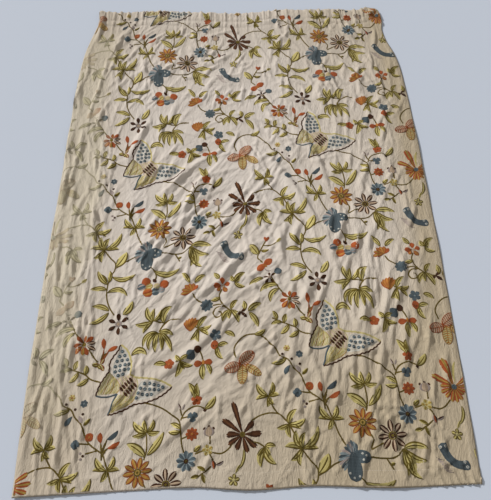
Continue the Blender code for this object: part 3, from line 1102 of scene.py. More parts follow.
def solid_round(x, y, radius, yarns, layer=0.12):
    """A round of five touching rows side by side, each of the next yarn in turn."""
    yarns = tuple(yarns[k % len(yarns)] for k in range(5))
    return blade((x - radius, y - 0.3 * radius), (x + radius, y + 0.3 * radius), 2.0 * radius, yarns,
                 0.0, 1.0, 0.5, layer)


def rosette(x, y, inner, outer, count, width, yarns, turn, belly, fullness):
    """Petals at equal angles from an inner to an outer radius, turned by degrees."""
    rows = []
    for angle in np.radians(turn) + 2.0 * np.pi * np.arange(count) / count:
        way = np.array([np.cos(angle), np.sin(angle)])
        middle = np.array([x, y])
        rows += blade(middle + inner * way, middle + outer * way, width, yarns, 0.0, belly, fullness)
    return rows


def outline(points, yarn, width, scallop, layer, pitch=SCALLOP_PITCH):
    """A row along a line whose edge is scalloped: scallop |sin(pi run / pitch)| to its right."""
    line = yarn_line(points, 3.0)
    out = scallop * np.abs(np.sin(np.pi * run_along(line) / pitch))
    return sewn_rows(line + out[:, None] * to_the_right(line), 0.5 * width, (yarn,), layer)


def filled_between(left, right, yarns, cover, layer):
    """Rows that run from end to end between two lines, and cover a share of the space."""
    count = max(len(yarn_line(left)), len(yarn_line(right)))
    share = np.linspace(0.0, 1.0, count)
    edges = []
    for points in (left, right):
        line = yarn_line(points, 2.0)
        at = share * (len(line) - 1)
        edges.append(np.stack([np.interp(at, np.arange(len(line)), line[:, k]) for k in (0, 1)], 1))
    gap = np.hypot(*(edges[1] - edges[0]).T)
    rows = []
    for k, yarn in enumerate(yarns):
        f = (k + 0.5) / len(yarns)
        line = edges[0] * (1.0 - f) + edges[1] * f
        rows += sewn_rows(line, 0.5 * cover * gap / len(yarns), (yarn,), layer)
    return rows


print("scallops", SCALLOP_PITCH, "mm apart")

# %% [markdown]
# ## The repeat: stems and leaves
#
# The pattern is an ordinary trailing one and repeats on a slanted lattice. Each thing in it is
# charted once, in millimetres from the middle of the large star flower, x across and y
# up. A spray is a few leaves from one point. Leaves bend a little by turns, as sewn ones do.

# %% Stems of one repeat
STEMS = (
    ((26, -24), (47, -27), (64, -37)),
    ((29, 30), (49, 42), (79, 50), (101, 49), (129, 25)),
    ((101, 49), (87, 70), (80, 90)),
    ((129, 25), (144, -4), (163, -43), (184, -71), (200, -89), (200, -111), (190, -131),
     (183, -162), (185, -202), (195, -229), (213, -256)),
    ((200, -106), (225, -92), (245, -78), (268, -68)),
    ((62, -158), (50, -183), (45, -203), (52, -210), (60, -218)),
    ((62, -158), (70, -143)),
    ((62, -158), (85, -158), (104, -150)),
    ((85, -266), (101, -293), (116, -315), (130, -330), (142, -340)),
    ((154, -357), (176, -387), (183, -394)),
    ((191, -389), (193, -378), (197, -365)),
    ((192, -383), (197, -376), (204, -369)),
    ((223, -659), (221, -640), (218, -623)),
    ((223, -650), (226, -644), (231, -638)),
    ((221, -640), (224, -628), (228, -616)),
    ((198, -452), (166, -440), (152, -428), (133, -420), (113, -412), (85, -398)),
    ((-269, 93), (-251, 89), (-212, 73), (-188, 56), (-168, 40), (-161, 5), (-157, -24), (-151, -43)),
    ((-163, 40), (-153, 61), (-133, 74), (-118, 76), (-100, 69)),
    ((-159, 46), (-141, 49)),
    ((-161, 53), (-166, 71)),
    ((-158, -8), (-143, -2)),
    ((-82, -5), (-82, -25)),
    ((-84, -47), (-78, -57), (-73, -67)),
    ((-71, -75), (-90, -91), (-110, -104)),
    ((-75, -47), (-50, -50), (-35, -42), (-20, -26)),
    ((-121, -48), (-100, -41)),
    ((-256, -57), (-251, -37), (-253, 10)),
    ((-256, -110), (-246, -131), (-253, -150)),
    ((-219, -138), (-253, -154)),
    ((-261, -171), (-227, -175), (-191, -172), (-168, -152)),
    ((-215, -177), (-207, -190), (-200, -202)),
    ((-294, -216), (-277, -232), (-270, -250), (-272, -262)),
    ((-155, -311), (-145, -329), (-121, -345)),
    ((-93, -352), (-71, -350), (-55, -358), (-42, -368)),
    ((-66, -302), (-74, -322), (-69, -340), (-55, -358)),
    ((-60, -356), (-84, -362), (-91, -376), (-81, -390), (-68, -386), (-68, -374), (-76, -372)),
    ((-38, -368), (-20, -376), (-8, -377)),
    ((-188, -390), (-221, -392), (-235, -402), (-249, -425)),
    ((-235, -399), (-266, -393)),
    ((-149, -410), (-134, -420)),
    ((-126, -489), (-121, -500), (-117, -513)),
    ((-194, -517), (-181, -514)),
    ((-22, -515), (-28, -490), (-15, -465), (5, -450), (35, -447), (61, -458), (76, -475),
     (93, -490), (103, -510), (125, -522), (140, -545), (160, -565), (169, -587), (183, -612),
     (208, -632), (222, -642), (237, -673), (243, -688), (256, -724), (270, -750)),
    ((157, -613), (185, -616)),
    ((179, -640), (208, -634)),
)

print(len(STEMS), "stems")

# %% Leaves of one repeat
Leaf = namedtuple("Leaf", "x0 y0 x1 y1 width bow")
LEAVES = (
    Leaf(203, -99, 232, -52, 17, 3), Leaf(195, -133, 266, -128, 10, 13),
    Leaf(183, -157, 149, -111, 10, -4), Leaf(184, -152, 186, -113, 8, 3),
    Leaf(180, -151, 160, -123, 7, 0), Leaf(182, -174, 133, -173, 9, 4),
    Leaf(184, -184, 246, -198, 10, -15), Leaf(196, -242, 145, -226, 10, 6),
    Leaf(196, -246, 143, -281, 10, -6), Leaf(239, -257, 265, -216, 13, 3),
    Leaf(46, -189, 20, -154, 15, 0), Leaf(55, -175, 80, -173, 7, 3),
    Leaf(62, -270, 17, -292, 9, 4), Leaf(106, -295, 50, -315, 10, 11),
    Leaf(109, -307, 81, -348, 10, 11), Leaf(113, -412, 81, -418, 8, 3),
    Leaf(99, -404, 86, -377, 8, 2), Leaf(121, -414, 128, -387, 9, -2),
    Leaf(133, -420, 108, -447, 9, -3), Leaf(150, -428, 150, -401, 9, 3),
    Leaf(162, -438, 132, -457, 9, -3), Leaf(276, -380, 320, -380, 12, -14),
    Leaf(-127, 98, -147, 141, 10, 4), Leaf(-115, 102, -122, 140, 9, -4),
    Leaf(-99, 67, -70, 101, 11, 4), Leaf(-161, 16, -191, 33, 8, 3),
    Leaf(-161, 12, -195, 12, 8, -3), Leaf(-125, -42, -107, -27, 8, 0),
    Leaf(-254, -49, -305, -13, 14, 4), Leaf(-249, -45, -207, 13, 12, 4),
    Leaf(-279, -230, -199, -226, 13, 16), Leaf(-166, -278, -192, -242, 9, 3),
    Leaf(-150, -278, -118, -253, 9, -4), Leaf(-74, -272, -92, -247, 9, 0),
    Leaf(-71, -326, -99, -336, 8, -2), Leaf(2, -372, 0, -342, 9, 2),
    Leaf(14, -378, 53, -351, 11, -4), Leaf(16, -380, 43, -425, 11, -4),
    Leaf(-235, -399, -215, -350, 15, -12), Leaf(-56, -437, -26, -452, 9, -4),
    Leaf(-115, -526, -114, -571, 11, 3), Leaf(-107, -526, -94, -557, 8, -3),
    Leaf(-221, -523, -257, -521, 9, 4), Leaf(122, -520, 78, -532, 9, -4),
    Leaf(165, -566, 182, -548, 6, 0), Leaf(30, -448, 64, -432, 9, 4),
    Leaf(-92, -91, -115, -80, 6, 0), Leaf(-100, -97, -93, -121, 6, 0),
    Leaf(-108, -103, -131, -107, 6, 0), Leaf(-206, -190, -195, -186, 5, 0),
    Leaf(-251, -427, -292, -469, 9, 16), Leaf(-251, -427, -274, -478, 9, 12),
    Leaf(-250, -427, -255, -486, 9, 5), Leaf(-249, -427, -238, -481, 8, -4),
    Leaf(-247, -427, -209, -485, 9, -7), Leaf(-247, -425, -207, -436, 10, -4),
)

print(len(LEAVES), "single leaves")

# %% Sprays of leaves
SPRAY_PROPORTION = 0.38
SPRAY_NARROWEST = 14.5
SPRAY_WIDEST = 19.5

Spray = namedtuple("Spray", "x y tips")
SPRAYS = (
    Spray(64, -37, ((93, -35), (94, -79), (74, -63), (53, -87), (45, -61))),
    Spray(77, 95, ((45, 130), (88, 134), (108, 98), (42, 86), (73, 66), (93, 74))),
    Spray(129, 21, ((153, 59), (175, 35), (97, 11), (134, -14), (161, 8))),
    Spray(163, -41, ((148, 5), (209, 17), (206, -40), (117, -36), (131, -70), (157, -83), (173, 0))),
    Spray(-253, 14, ((-292, 45), (-237, 47), (-292, 6), (-218, 15), (-261, 47))),
    Spray(-168, -152, ((-102, -153), (-128, -226), (-166, -219), (-109, -182), (-149, -223))),
    Spray(-28, -280, ((5, -250), (5, -295), (-38, -258), (-12, -262))),
    Spray(-38, -368, ((-18, -338), (-62, -405), (-15, -410), (-42, -398))),
    Spray(-268, -393, ((-289, -347), (-246, -359), (-321, -399), (-296, -427), (-267, -353))),
    Spray(-134, -420, ((-109, -385), (-95, -412), (-156, -454), (-130, -463), (-103, -446))),
    Spray(-76, -479, ((-45, -471), (-59, -515), (-82, -501))),
    Spray(-181, -514, ((-156, -502), (-145, -527), (-194, -559), (-168, -538), (-196, -495))),
    Spray(247, 33, ((216, 68), (263, 69), (281, 33), (211, 35), (235, 6))),
    Spray(185, -399, ((168, -398), (201, -410))),
)


def spray_leaves(spray):
    """A leaf to each tip, as wide as its length tells within limits, bending by turns."""
    rows = []
    for k, (x, y) in enumerate(spray.tips):
        length = np.hypot(x - spray.x, y - spray.y)
        width = np.clip(SPRAY_PROPORTION * length, SPRAY_NARROWEST, SPRAY_WIDEST)
        bow = length * (0.15 if k % 2 else -0.13)
        rows += leaf_rows((spray.x, spray.y), (x, y), width, bow, 1.0 if k % 3 else -1.0)
    return rows


print(len(SPRAYS), "sprays")

# %% Sew the greenery
greenery = []
for points in STEMS:
    greenery += stem(points)
for leaf in LEAVES:
    plump = LEAF_PLUMPNESS * leaf.width
    dark_side = -1.0 if leaf.bow < 0.0 else 1.0
    greenery += leaf_rows((leaf.x0, leaf.y0), (leaf.x1, leaf.y1), plump, leaf.bow, dark_side)
for spray in SPRAYS:
    greenery += spray_leaves(spray)
print(len(greenery), "rows in the stems and leaves of one repeat")

# %% [markdown]
# ## The repeat: flowers and berries
#
# Round flowers are rosettes with a heart of rings. Buds, bells and odd petals are single
# blades. Berries are rounds of rows. Yarns are named from one side of a petal to the other.

# %% Round flowers of one repeat
Flower = namedtuple("Flower", "x y inner outer count width yarns turn belly fullness heart hearts")
FLOWERS = (
    Flower(229, -284, 9, 33, 6, 13, ("brown", "brown", "brown"), 34, 1.3, 0.6, 10, ("tan", "mauve")),
    Flower(-122, 93, 2, 16, 5, 14, ("rust", "rust"), 18, 1.2, 0.6, 5, ("russet", "rust")),
    Flower(-131, 48, 1, 15, 3, 19, ("slate", "slate", "slate"), 35, 1.4, 0.5, 8, ("slate", "slate")),
    Flower(-131, 3, 6, 18, 8, 10, ("rust", "rust"), 0, 1.1, 0.6, 13, ("orange", "rust", "rust", "rust")),
    Flower(-144, -65, 4, 27, 9, 14, ("slate", "slate", "sky"), 12, 1.6, 0.5, 7, ("olive", "brown")),
    Flower(-88, -40, 3, 15, 5, 12, ("lime", "gold", "lime"), 30, 1.3, 0.6, 6, ("gold", "straw")),
    Flower(-270, -87, 7, 39, 10, 15, ("russet", "orange", "gold", "russet"), 8, 1.2, 0.7, 10,
           ("olive", "gold", "olive")),
    Flower(-194, -120, 8, 41, 8, 16, ("brown", "tan", "brown"), 6, 1.2, 0.5, 11,
           ("olive", "brown", "olive")),
    Flower(-111, -351, 3, 20, 9, 11, ("slate", "slate"), 20, 1.4, 0.6, 7, ("slate", "slate")),
    Flower(-82, -444, 2, 18, 5, 15, ("slate", "slate", "slate"), 40, 1.4, 0.6, 6, ("sky", "slate")),
    Flower(-213, -522, 2, 16, 5, 15, ("rust", "rust", "rust"), 10, 1.4, 0.6, 5, ("orange", "rust")),
    Flower(124, -490, 1, 10, 6, 9, ("straw", "gold"), 0, 1.3, 0.5, 3, ("rust",)),
    Flower(160, -508, 2, 11, 6, 9, ("slate", "slate"), 20, 1.3, 0.6, 3, ("sky",)),
    Flower(184, -598, 1, 12, 4, 16, ("rust", "rust", "rust"), 45, 1.4, 0.5, 4, ("orange",)),
    Flower(149, -615, 1, 13, 4, 15, ("slate", "slate", "slate"), 0, 1.4, 0.5, 4, ("slate",)),
    Flower(-18, -117, 2, 16, 5, 12, ("olive", "lime", "olive"), 10, 1.3, 0.6, 4, ("straw",)),
)

print(len(FLOWERS), "round flowers")

# %% Buds and single petals
Petal = namedtuple("Petal", "x0 y0 x1 y1 width bow belly yarns")
RUST = ("rust", "rust", "rust")
ORANGE = ("rust", "orange", "orange", "rust")
SLATE = ("slate", "slate", "slate", "slate")
BROWN = ("brown", "brown")
GOLD = ("rust", "orange", "gold", "rust")
LOOP = ("brown", "tan", "brown")
BUDS = (
    Petal(70, -144, 66, -126, 10, 2, 1.4, RUST), Petal(74, -145, 82, -128, 10, -2, 1.4, RUST),
    Petal(104, -150, 120, -137, 11, 0, 1.0, ("lime", "olive", "lime")),
    Petal(62, -228, 90, -206, 23, 0, 1.1, RUST), Petal(68, -222, 42, -247, 23, 0, 1.1, RUST),
    Petal(58, -222, 74, -234, 11, 0, 1.0, ("orange", "orange")),
    Petal(66, -238, 86, -246, 5, 5, 1.0, ("mauve",)),
    Petal(77, -268, 61, -266, 8, 0, 1.3, BROWN), Petal(78, -273, 66, -289, 9, 0, 1.3, BROWN),
    Petal(83, -273, 94, -286, 9, 0, 1.3, BROWN), Petal(80, -265, 79, -252, 8, 0, 1.3, BROWN),
    Petal(84, -265, 97, -254, 8, 0, 1.3, BROWN), Petal(88, -264, 102, -252, 4, 0, 1.0, ("olive",)),
    Petal(142, -337, 162, -319, 14, 0, 1.4, RUST),
    Petal(139, -336, 141, -315, 11, 0, 1.4, ("rust", "orange")),
    Petal(146, -340, 170, -336, 12, 0, 1.3, LOOP), Petal(146, -345, 172, -358, 12, 0, 1.3, LOOP),
    Petal(141, -348, 152, -373, 14, 0, 1.4, RUST),
    Petal(138, -348, 138, -373, 13, 0, 1.4, ("gold", "orange")),
    Petal(134, -346, 116, -368, 16, 0, 1.4, ("rust", "orange", "rust")),
    Petal(132, -341, 109, -346, 13, 0, 1.4, ("rust", "russet", "rust")),
    Petal(134, -337, 117, -318, 12, 0, 1.4, RUST),
    Petal(222, -642, 216, -612, 6, 0, 0.9, ("stem",)), Petal(222, -642, 233, -604, 6, 0, 0.9, ("stem",)),
    Petal(222, -642, 239, -627, 6, 0, 0.9, ("stem",)), Petal(196, -390, 196, -354, 6, 0, 0.9, ("russet",)),
    Petal(196, -390, 210, -362, 6, 0, 0.9, ("russet",)),
    Petal(196, -358, 191, -325, 14, 0, 1.2, RUST), Petal(207, -364, 234, -350, 13, 0, 1.1, RUST),
    Petal(191, -401, 172, -404, 12, 0, 1.0, ("russet", "straw", "russet")),
    Petal(191, -401, 200, -383, 12, 0, 1.0, ("russet", "straw", "russet")),
    Petal(191, -401, 203, -420, 13, 0, 1.0, ("russet", "straw", "russet")),
    Petal(-163, 68, -172, 86, 6, 0, 1.0, ("mauve", "brown")),
    Petal(-160, 68, -154, 84, 6, 0, 1.0, ("mauve",)),
    Petal(-74, -66, -70, -88, 15, 0, 1.0, ("brown", "rust", "mauve")),
    Petal(-66, -78, -46, -69, 9, 3, 1.0, ("brown", "mauve")),
    Petal(-156, -305, -192, -313, 15, 0, 1.5, GOLD), Petal(-156, -305, -189, -298, 14, 0, 1.5, GOLD),
    Petal(-156, -305, -180, -284, 15, 0, 1.5, ORANGE), Petal(-156, -305, -167, -279, 14, 0, 1.5, GOLD),
    Petal(-156, -305, -153, -278, 14, 0, 1.5, ORANGE), Petal(-156, -305, -139, -286, 14, 0, 1.5, RUST),
    Petal(-68, -290, -92, -292, 18, 0, 1.4, RUST), Petal(-65, -286, -66, -266, 17, 0, 1.4, RUST),
    Petal(-60, -288, -42, -284, 16, 0, 1.4, RUST), Petal(-64, -294, -50, -312, 15, 0, 1.3, ORANGE),
    Petal(-70, -294, -80, -308, 12, 0, 1.3, ORANGE),
    Petal(-8, -377, 10, -394, 11, 0, 1.2, BROWN), Petal(-8, -377, 8, -366, 10, 0, 1.2, BROWN),
    Petal(-8, -377, -18, -388, 9, 0, 1.2, BROWN),
    Petal(-84, -488, -84, -458, 24, 0, 1.0, RUST), Petal(-74, -472, -95, -469, 7, -6, 1.0, BROWN),
    Petal(-141, -486, -165, -496, 19, 0, 1.6, SLATE), Petal(-142, -488, -163, -509, 18, 0, 1.6, SLATE),
    Petal(-142, -489, -151, -513, 16, 0, 1.5, SLATE),
    Petal(-115, -522, -143, -526, 20, 0, 1.5, RUST), Petal(-117, -521, -89, -522, 20, 0, 1.5, RUST),
    Petal(-116, -513, -115, -531, 10, 0, 1.0, ("orange", "orange")),
    Petal(132, -540, 116, -566, 14, 2, 1.3, SLATE),
    Petal(150, -540, 160, -560, 14, 0, 1.2, ("mauve", "mauve")),
    Petal(217, -615, 213, -587, 15, -2, 1.1, RUST), Petal(231, -606, 260, -584, 14, 5, 1.0, SLATE),
    Petal(235, -629, 267, -613, 14, 4, 1.1, RUST),
    Petal(-280, -258, -268, -270, 12, 0, 1.0, BROWN),
    Petal(-101, 12, -96, 19, 6, 0, 1.0, ("brown",)), Petal(-90, 21, -82, 21, 6, 0, 1.0, ("brown",)),
    Petal(-76, 19, -70, 12, 6, 0, 1.0, ("brown",)),
    Petal(-85, -6, -86, 21, 30, 0, 0.8, ("mauve", "tan", "tan", "tan", "mauve")),
)

print(len(BUDS), "single petals")

# %% Berries
Berry = namedtuple("Berry", "x y radius yarns")
BERRIES = (
    Berry(107, -248, 12, ("slate", "slate", "slate")), Berry(80, -269, 6, ("mauve", "tan")),
    Berry(-300, -266, 14, ("rust", "rust", "rust")), Berry(-313, -283, 13, ("slate", "mauve", "slate")),
    Berry(-289, -281, 11, ("gold", "straw")), Berry(-292, -301, 15, ("orange", "rust", "rust")),
    Berry(-266, -282, 11, ("tan", "straw")), Berry(-269, -299, 13, ("slate", "slate", "sky")),
    Berry(-244, -276, 14, ("rust", "rust", "rust")), Berry(-252, -294, 11, ("sky", "mauve")),
    Berry(-133, -483, 11, ("brown", "brown")), Berry(111, -507, 4, ("brown",)),
    Berry(137, -522, 4, ("brown",)), Berry(160, -536, 4, ("brown",)), Berry(138, -342, 6, ("gold", "olive")),
    Berry(173, -645, 4, ("brown",)), Berry(165, -638, 4, ("mauve",)), Berry(168, -653, 4, ("mauve",)),
    Berry(-98, 64, 5, ("brown",)), Berry(-62, -292, 5, ("tan",)),
)

print(len(BERRIES), "berries")

# %% Sew the flowers
PETAL_FULLNESS = 0.7
PETAL_LAYER = 0.3

flowers = []
for f in FLOWERS:
    flowers += rosette(f.x, f.y, f.inner, f.outer, f.count, f.width, f.yarns, f.turn, f.belly, f.fullness)
    flowers += ringed_round(f.x, f.y, f.heart, f.hearts, OVERLAY)
for p in BUDS:
    ends = ((p.x0, p.y0), (p.x1, p.y1))
    flowers += blade(*ends, p.width, p.yarns, p.bow, p.belly, PETAL_FULLNESS, PETAL_LAYER)
for b in BERRIES:
    flowers += solid_round(b.x, b.y, b.radius, b.yarns)
print(len(flowers), "rows in the flowers of one repeat")

# %% [markdown]
# ## The repeat: the large motifs
#
# Six motifs are large enough to need their own shape: the star flower, whose petals are wedges
# that end wide, the butterfly, the clover with barred lobes, the bluebell, the seed pod and the
# shell. The star flower is brown in the middle of the cloth and orange with a blue heart at its
# sides, so its rows are kept apart from the others.

# %% Star flower
STAR_ROOT = 6.0
STAR_ROOT_SPREAD = 0.3
STAR_HEART = 8
STAR_TIPS = (
    (-22, 84, 17), (-50, 38, 18), (-39, -3, 20), (-34, -30, 17), (-12, -44, 17),
    (18, -52, 17), (42, -39, 18), (57, -3, 20), (36, 29, 18),
)
ORANGE_TIPS = (
    (-26, 89, 24), (-62, 42, 21), (-42, 13, 14), (-43, -6, 14), (-32, -20, 14), (-16, -32, 14),
    (-1, -34, 14), (14, -28, 14), (22, -13, 13), (46, 40, 15), (58, 14, 16), (50, -10, 15),
)
Strand = namedtuple("Strand", "across reach share layer")
STAR_STRANDS = (
    Strand(-0.27, 0.97, 0.50, 0.12),
    Strand(0.27, 0.92, 0.50, 0.12),
    Strand(0.0, 1.0, 0.50, 0.3),
)


def star_flower(tips, middle, side_yarn, middle_yarn, heart_yarns):
    """Wedge petals round a small heart, each of two side strands with a middle one over them.

    A strand ends at middle + reach (tip - middle), moved sideways by across times the petal's
    width, so that the three ends stand apart like teeth. Two leaves hang below.
    """
    rows = []
    for x, y, width in tips:
        way = np.array([x, y]) - middle
        start = middle + STAR_ROOT * way / np.hypot(*way)
        side = np.array([way[1], -way[0]]) / np.hypot(*way)
        for across, reach, share, layer in STAR_STRANDS:
            tip = middle + reach * way + across * width * side
            yarn = side_yarn if across else middle_yarn
            root = start + STAR_ROOT_SPREAD * across * width * side
            rows += blade(root, tip, share * width, (yarn,), 0.0, 2.0, 0.4, layer)
    rows += ringed_round(*middle, STAR_HEART, heart_yarns, OVERLAY)
    rows += blade((8, -42), (-4, -90), 10, ("olive", "lime", "olive"), -6, 1.0, 0.5)
    rows += blade((-2, -80), (-14, -102), 7, ("lime", "olive", "lime"))
    return rows


print(len(STAR_TIPS), "petals in the brown star flower,", len(ORANGE_TIPS), "in the orange one")

# %% Clover lobes
BAR_STEP = 4
BAR_SLANT = 3
BAR_REACH = 0.92
BAR_HALF_WIDTH = 1.35
LOBE_RIB_WIDTH = 2.2
LOBE_RIM_HALF_WIDTH = 0.9
CLOVER_LOBES = (
    (-12, -532, 29, -499, 31, "tan", "rust"), (-10, -536, -55, -546, 30, "tan", "rust"),
    (-3, -536, -5, -590, 28, "straw", "orange"), (6, -536, 49, -565, 23, "straw", "orange"),
)


def barred_lobe(x0, y0, x1, y1, width, ground, yarn):
    """A lobe of light rows with slanting bars that run from its midrib to both edges."""
    rows = blade((x0, y0), (x1, y1), width, (ground,) * 7, 0.0, 1.0, 0.5, -0.2)
    line = bowed_line((x0, y0), (x1, y1), 0.0, 1.6)
    right = to_the_right(line)
    half = swelling(line, width)
    for k in range(1, len(line) - BAR_SLANT - 1, BAR_STEP):
        ahead = k + BAR_SLANT
        for side in (-1.0, 1.0):
            end = line[ahead] + side * BAR_REACH * half[ahead] * right[ahead]
            rows += sewn_rows(bowed_line(line[k], end, 0.0), BAR_HALF_WIDTH, (yarn,), OVERLAY)
    rows += stem(line[::4], yarn, LOBE_RIB_WIDTH, OVERLAY)
    for side in (-1.0, 1.0):
        edge = line + side * half[:, None] * right
        rows += sewn_rows(edge, LOBE_RIM_HALF_WIDTH, (yarn,), OVERLAY)
    return rows


print(len(CLOVER_LOBES), "lobes in the clover")

# %% Bluebell
BELL_MIDDLE = (-303, -170)
BELL_FEATHER_WIDTH = 11.0
BELL_SPOT_RADIUS = 3.2
BELL_LOBES = (
    (-310, -168, -255, -173, 33, 1.2, ("slate",) * 8),
    (-303, -157, -302, -230, 38, 1.5, ("slate",) * 9),
)
BELL_SPOTS = ((-315, -210), (-305, -221), (-292, -217), (-279, -163), (-269, -168), (-278, -178))
BELL_FEATHERS = (
    (-293, -138, "slate"), (-300, -133, "sky"), (-307, -130, "slate"), (-314, -134, "mauve"),
    (-320, -139, "sky"), (-327, -147, "slate"), (-334, -156, "mauve"), (-339, -164, "sky"),
    (-342, -173, "slate"), (-344, -183, "sky"), (-341, -191, "mauve"), (-336, -199, "slate"),
    (-330, -205, "sky"),
)


def bluebell():
    """Two dark lobes from one middle, with white spots, over a tuft of thin feathers."""
    rows = []
    for x, y, yarn in BELL_FEATHERS:
        rows += blade(BELL_MIDDLE, (x, y), BELL_FEATHER_WIDTH, (yarn, yarn), 3.0, 1.5, 0.5, -0.1)
    for k, (x0, y0, x1, y1, width, belly, yarns) in enumerate(BELL_LOBES):
        rows += blade((x0, y0), (x1, y1), width, yarns, 0.0, belly, 0.38, 0.2 + 0.2 * k)
    for x, y in BELL_SPOTS:
        rows += ringed_round(x, y, BELL_SPOT_RADIUS, ("white",), OVERLAY + 0.6)
    return rows


print(len(BELL_FEATHERS), "feathers behind the bluebell")

# %% Seed pod and shell
POD_LINE = ((-66, -138), (-61, -151), (-55, -167), (-46, -181), (-31, -191), (-15, -194), (2, -193))
POD_SPOTS = ((-70, -149), (-57, -146), (-11, -186), (-6, -198))
POD_SPOT_RADIUS = 4.2
POD_FEATHERS = 7
POD_FEATHER_WIDTH = 4.0


def seed_pod():
    """A bent pod with the half width (10.5 + 7 s^4) (1 - |s|^9)^0.5, with s from -1 to 1.

    Two pairs of white spots lie on it, and thin feathers lie beside it.
    """
    line = yarn_line(POD_LINE, 3.0)
    s = np.linspace(-1.0, 1.0, len(line))
    half = (10.5 + 7.0 * s**4) * np.clip(1.0 - np.abs(s) ** 9, 0.0, 1.0) ** 0.5
    rows = sewn_rows(line, half, ("slate",) * 8, 0.1)
    for x, y in POD_SPOTS:
        rows += ringed_round(x, y, POD_SPOT_RADIUS, ("white", "white"), OVERLAY + 0.4)
    for k in range(POD_FEATHERS):
        start = (-88.0 + 3.0 * k, -172.0 - 5.0 * k)
        end = (start[0] + 26.0, start[1] - 8.0)
        rows += blade(start, end, POD_FEATHER_WIDTH, ("mauve",), 3.0, 1.0, 0.4, -0.2)
    return rows


SHELL_RIB_WIDTH = 12
SHELL_POINT = (-158, -428)
SHELL_RIM = ((-177, -399), (-171, -392), (-162, -388), (-152, -386), (-142, -387), (-134, -393))


def shell():
    """Ribs that fan out from a point to a round rim, each of one rust and two orange rows."""
    rows = []
    for end in SHELL_RIM:
        rows += blade(SHELL_POINT, end, SHELL_RIB_WIDTH, ("rust", "orange", "orange"), 0, 1.5, 0.4, 0.1)
    return rows


print(len(SHELL_RIM), "ribs in the shell")

# %% Sew the pod, shell, bluebell, clover and star flowers
motifs = seed_pod() + shell() + bluebell()
for lobe in CLOVER_LOBES:
    motifs += barred_lobe(*lobe)
brown_stars = star_flower(STAR_TIPS, np.array([5.0, -5.0]), "brown", "umber", ("olive", "stem"))
orange_stars = star_flower(ORANGE_TIPS, np.array([-3.0, 9.0]), "rust", "gold", ("slate", "slate"))
orange_stars += blade((2, 20), (11, 80), 9, ("lime", "lime"), -5, 1.2, 0.6, -0.2)
print(len(motifs), "rows in the pod, shell, bluebell and clover")

# %% [markdown]
# A butterfly is worked as grounds of thin open rows, laid between two charted lines each, then
# dots, then the scalloped edges of its wings, and last the ribs of its body over all of them.

# %% Chart the butterfly
UPPER_LEFT = (
    (243, -347), (238, -363), (225, -382), (218, -400), (220, -419), (208, -443), (197, -464), (190, -489),
)
UPPER_RIGHT = ((243, -347), (260, -361), (273, -384), (279, -410), (280, -436))
NOTCH = ((190, -489), (208, -493), (229, -492), (248, -486))
LOWER_LEFT = ((248, -486), (238, -507), (233, -527), (227, -542))
LOWER_RIGHT = (
    (397, -474), (378, -491), (351, -506), (326, -513), (293, -518), (276, -527), (250, -537), (227, -542),
)
LOWER_TOP = ((397, -474), (373, -460), (345, -451), (316, -446), (294, -443), (280, -436))
DOTTED_UPPER = (
    ((244, -352), (234, -382), (227, -404), (228, -428), (240, -444)),
    ((247, -352), (262, -366), (273, -388), (277, -410), (277, -430)),
)
DOTTED_LOWER = (
    ((386, -474), (362, -460), (336, -453), (314, -454), (304, -470)),
    ((388, -476), (366, -489), (344, -500), (318, -506), (296, -507)),
)
INNER_UPPER = (
    ((220, -424), (208, -443), (198, -464), (192, -487)),
    ((242, -446), (252, -458), (257, -472), (248, -484)),
)
INNER_LOWER = (
    ((252, -488), (240, -507), (235, -524), (229, -540)),
    ((304, -496), (290, -513), (266, -526), (231, -541)),
)
BODY_GROUND = (
    ((240, -445), (249, -460), (252, -474), (258, -490)),
    ((281, -432), (300, -448), (306, -474), (298, -500)),
)
WING_DOTS = (
    (249, -366), (243, -380), (257, -378), (237, -394), (251, -392), (266, -391), (234, -409),
    (247, -407), (261, -405), (272, -404), (235, -424), (248, -421), (261, -419), (272, -418),
    (245, -435), (258, -432),
    (322, -462), (336, -462), (349, -466), (361, -469), (373, -474), (312, -474), (324, -477),
    (337, -478), (350, -480), (362, -481), (306, -487), (318, -491), (331, -493), (343, -493), (302, -500),
)
BODY_MIDDLE = np.array([277.0, -469.0])
BODY_ALONG = np.array([0.69, 0.72])
BODY_ACROSS = np.array([0.66, -0.75])
RIB_PLACES = (-17.0, -8.5, 0.0, 8.5, 17.0)
RIB_ENDS = (1.0, 19.0)
RIB_WIDTH = 7.0
SPINE_WIDTH = 3.0
SPINE_REACH = 20.0
WING_DOT_RADIUS = 5.2
WingEdge = namedtuple("WingEdge", "points yarn width scallop layer")
WING_EDGES = (
    WingEdge(UPPER_RIGHT, "straw", 6.5, -1.0, 0.1),
    WingEdge(LOWER_TOP, "straw", 6.5, 1.0, 0.1),
    WingEdge(UPPER_RIGHT, "gold", 2.2, -1.0, 0.3),
    WingEdge(LOWER_TOP, "gold", 2.2, 1.0, 0.3),
    WingEdge(UPPER_LEFT, "brown", 4.2, 2.2, OVERLAY),
    WingEdge(NOTCH, "slate", 4.6, 0.0, OVERLAY),
    WingEdge(LOWER_LEFT, "slate", 4.6, 0.0, OVERLAY),
    WingEdge(LOWER_RIGHT, "brown", 4.4, -2.4, OVERLAY),
)
LOOP_PITCH = 9.0
STRAW_LOOPS = (
    ((236, -446), (228, -454), (214, -466), (204, -482)),
    ((246, -462), (232, -472), (216, -486)),
    ((262, -500), (254, -508), (244, -526)),
    ((288, -504), (272, -514), (256, -520), (240, -534)),
)

print(len(WING_DOTS), "dots on the wings")

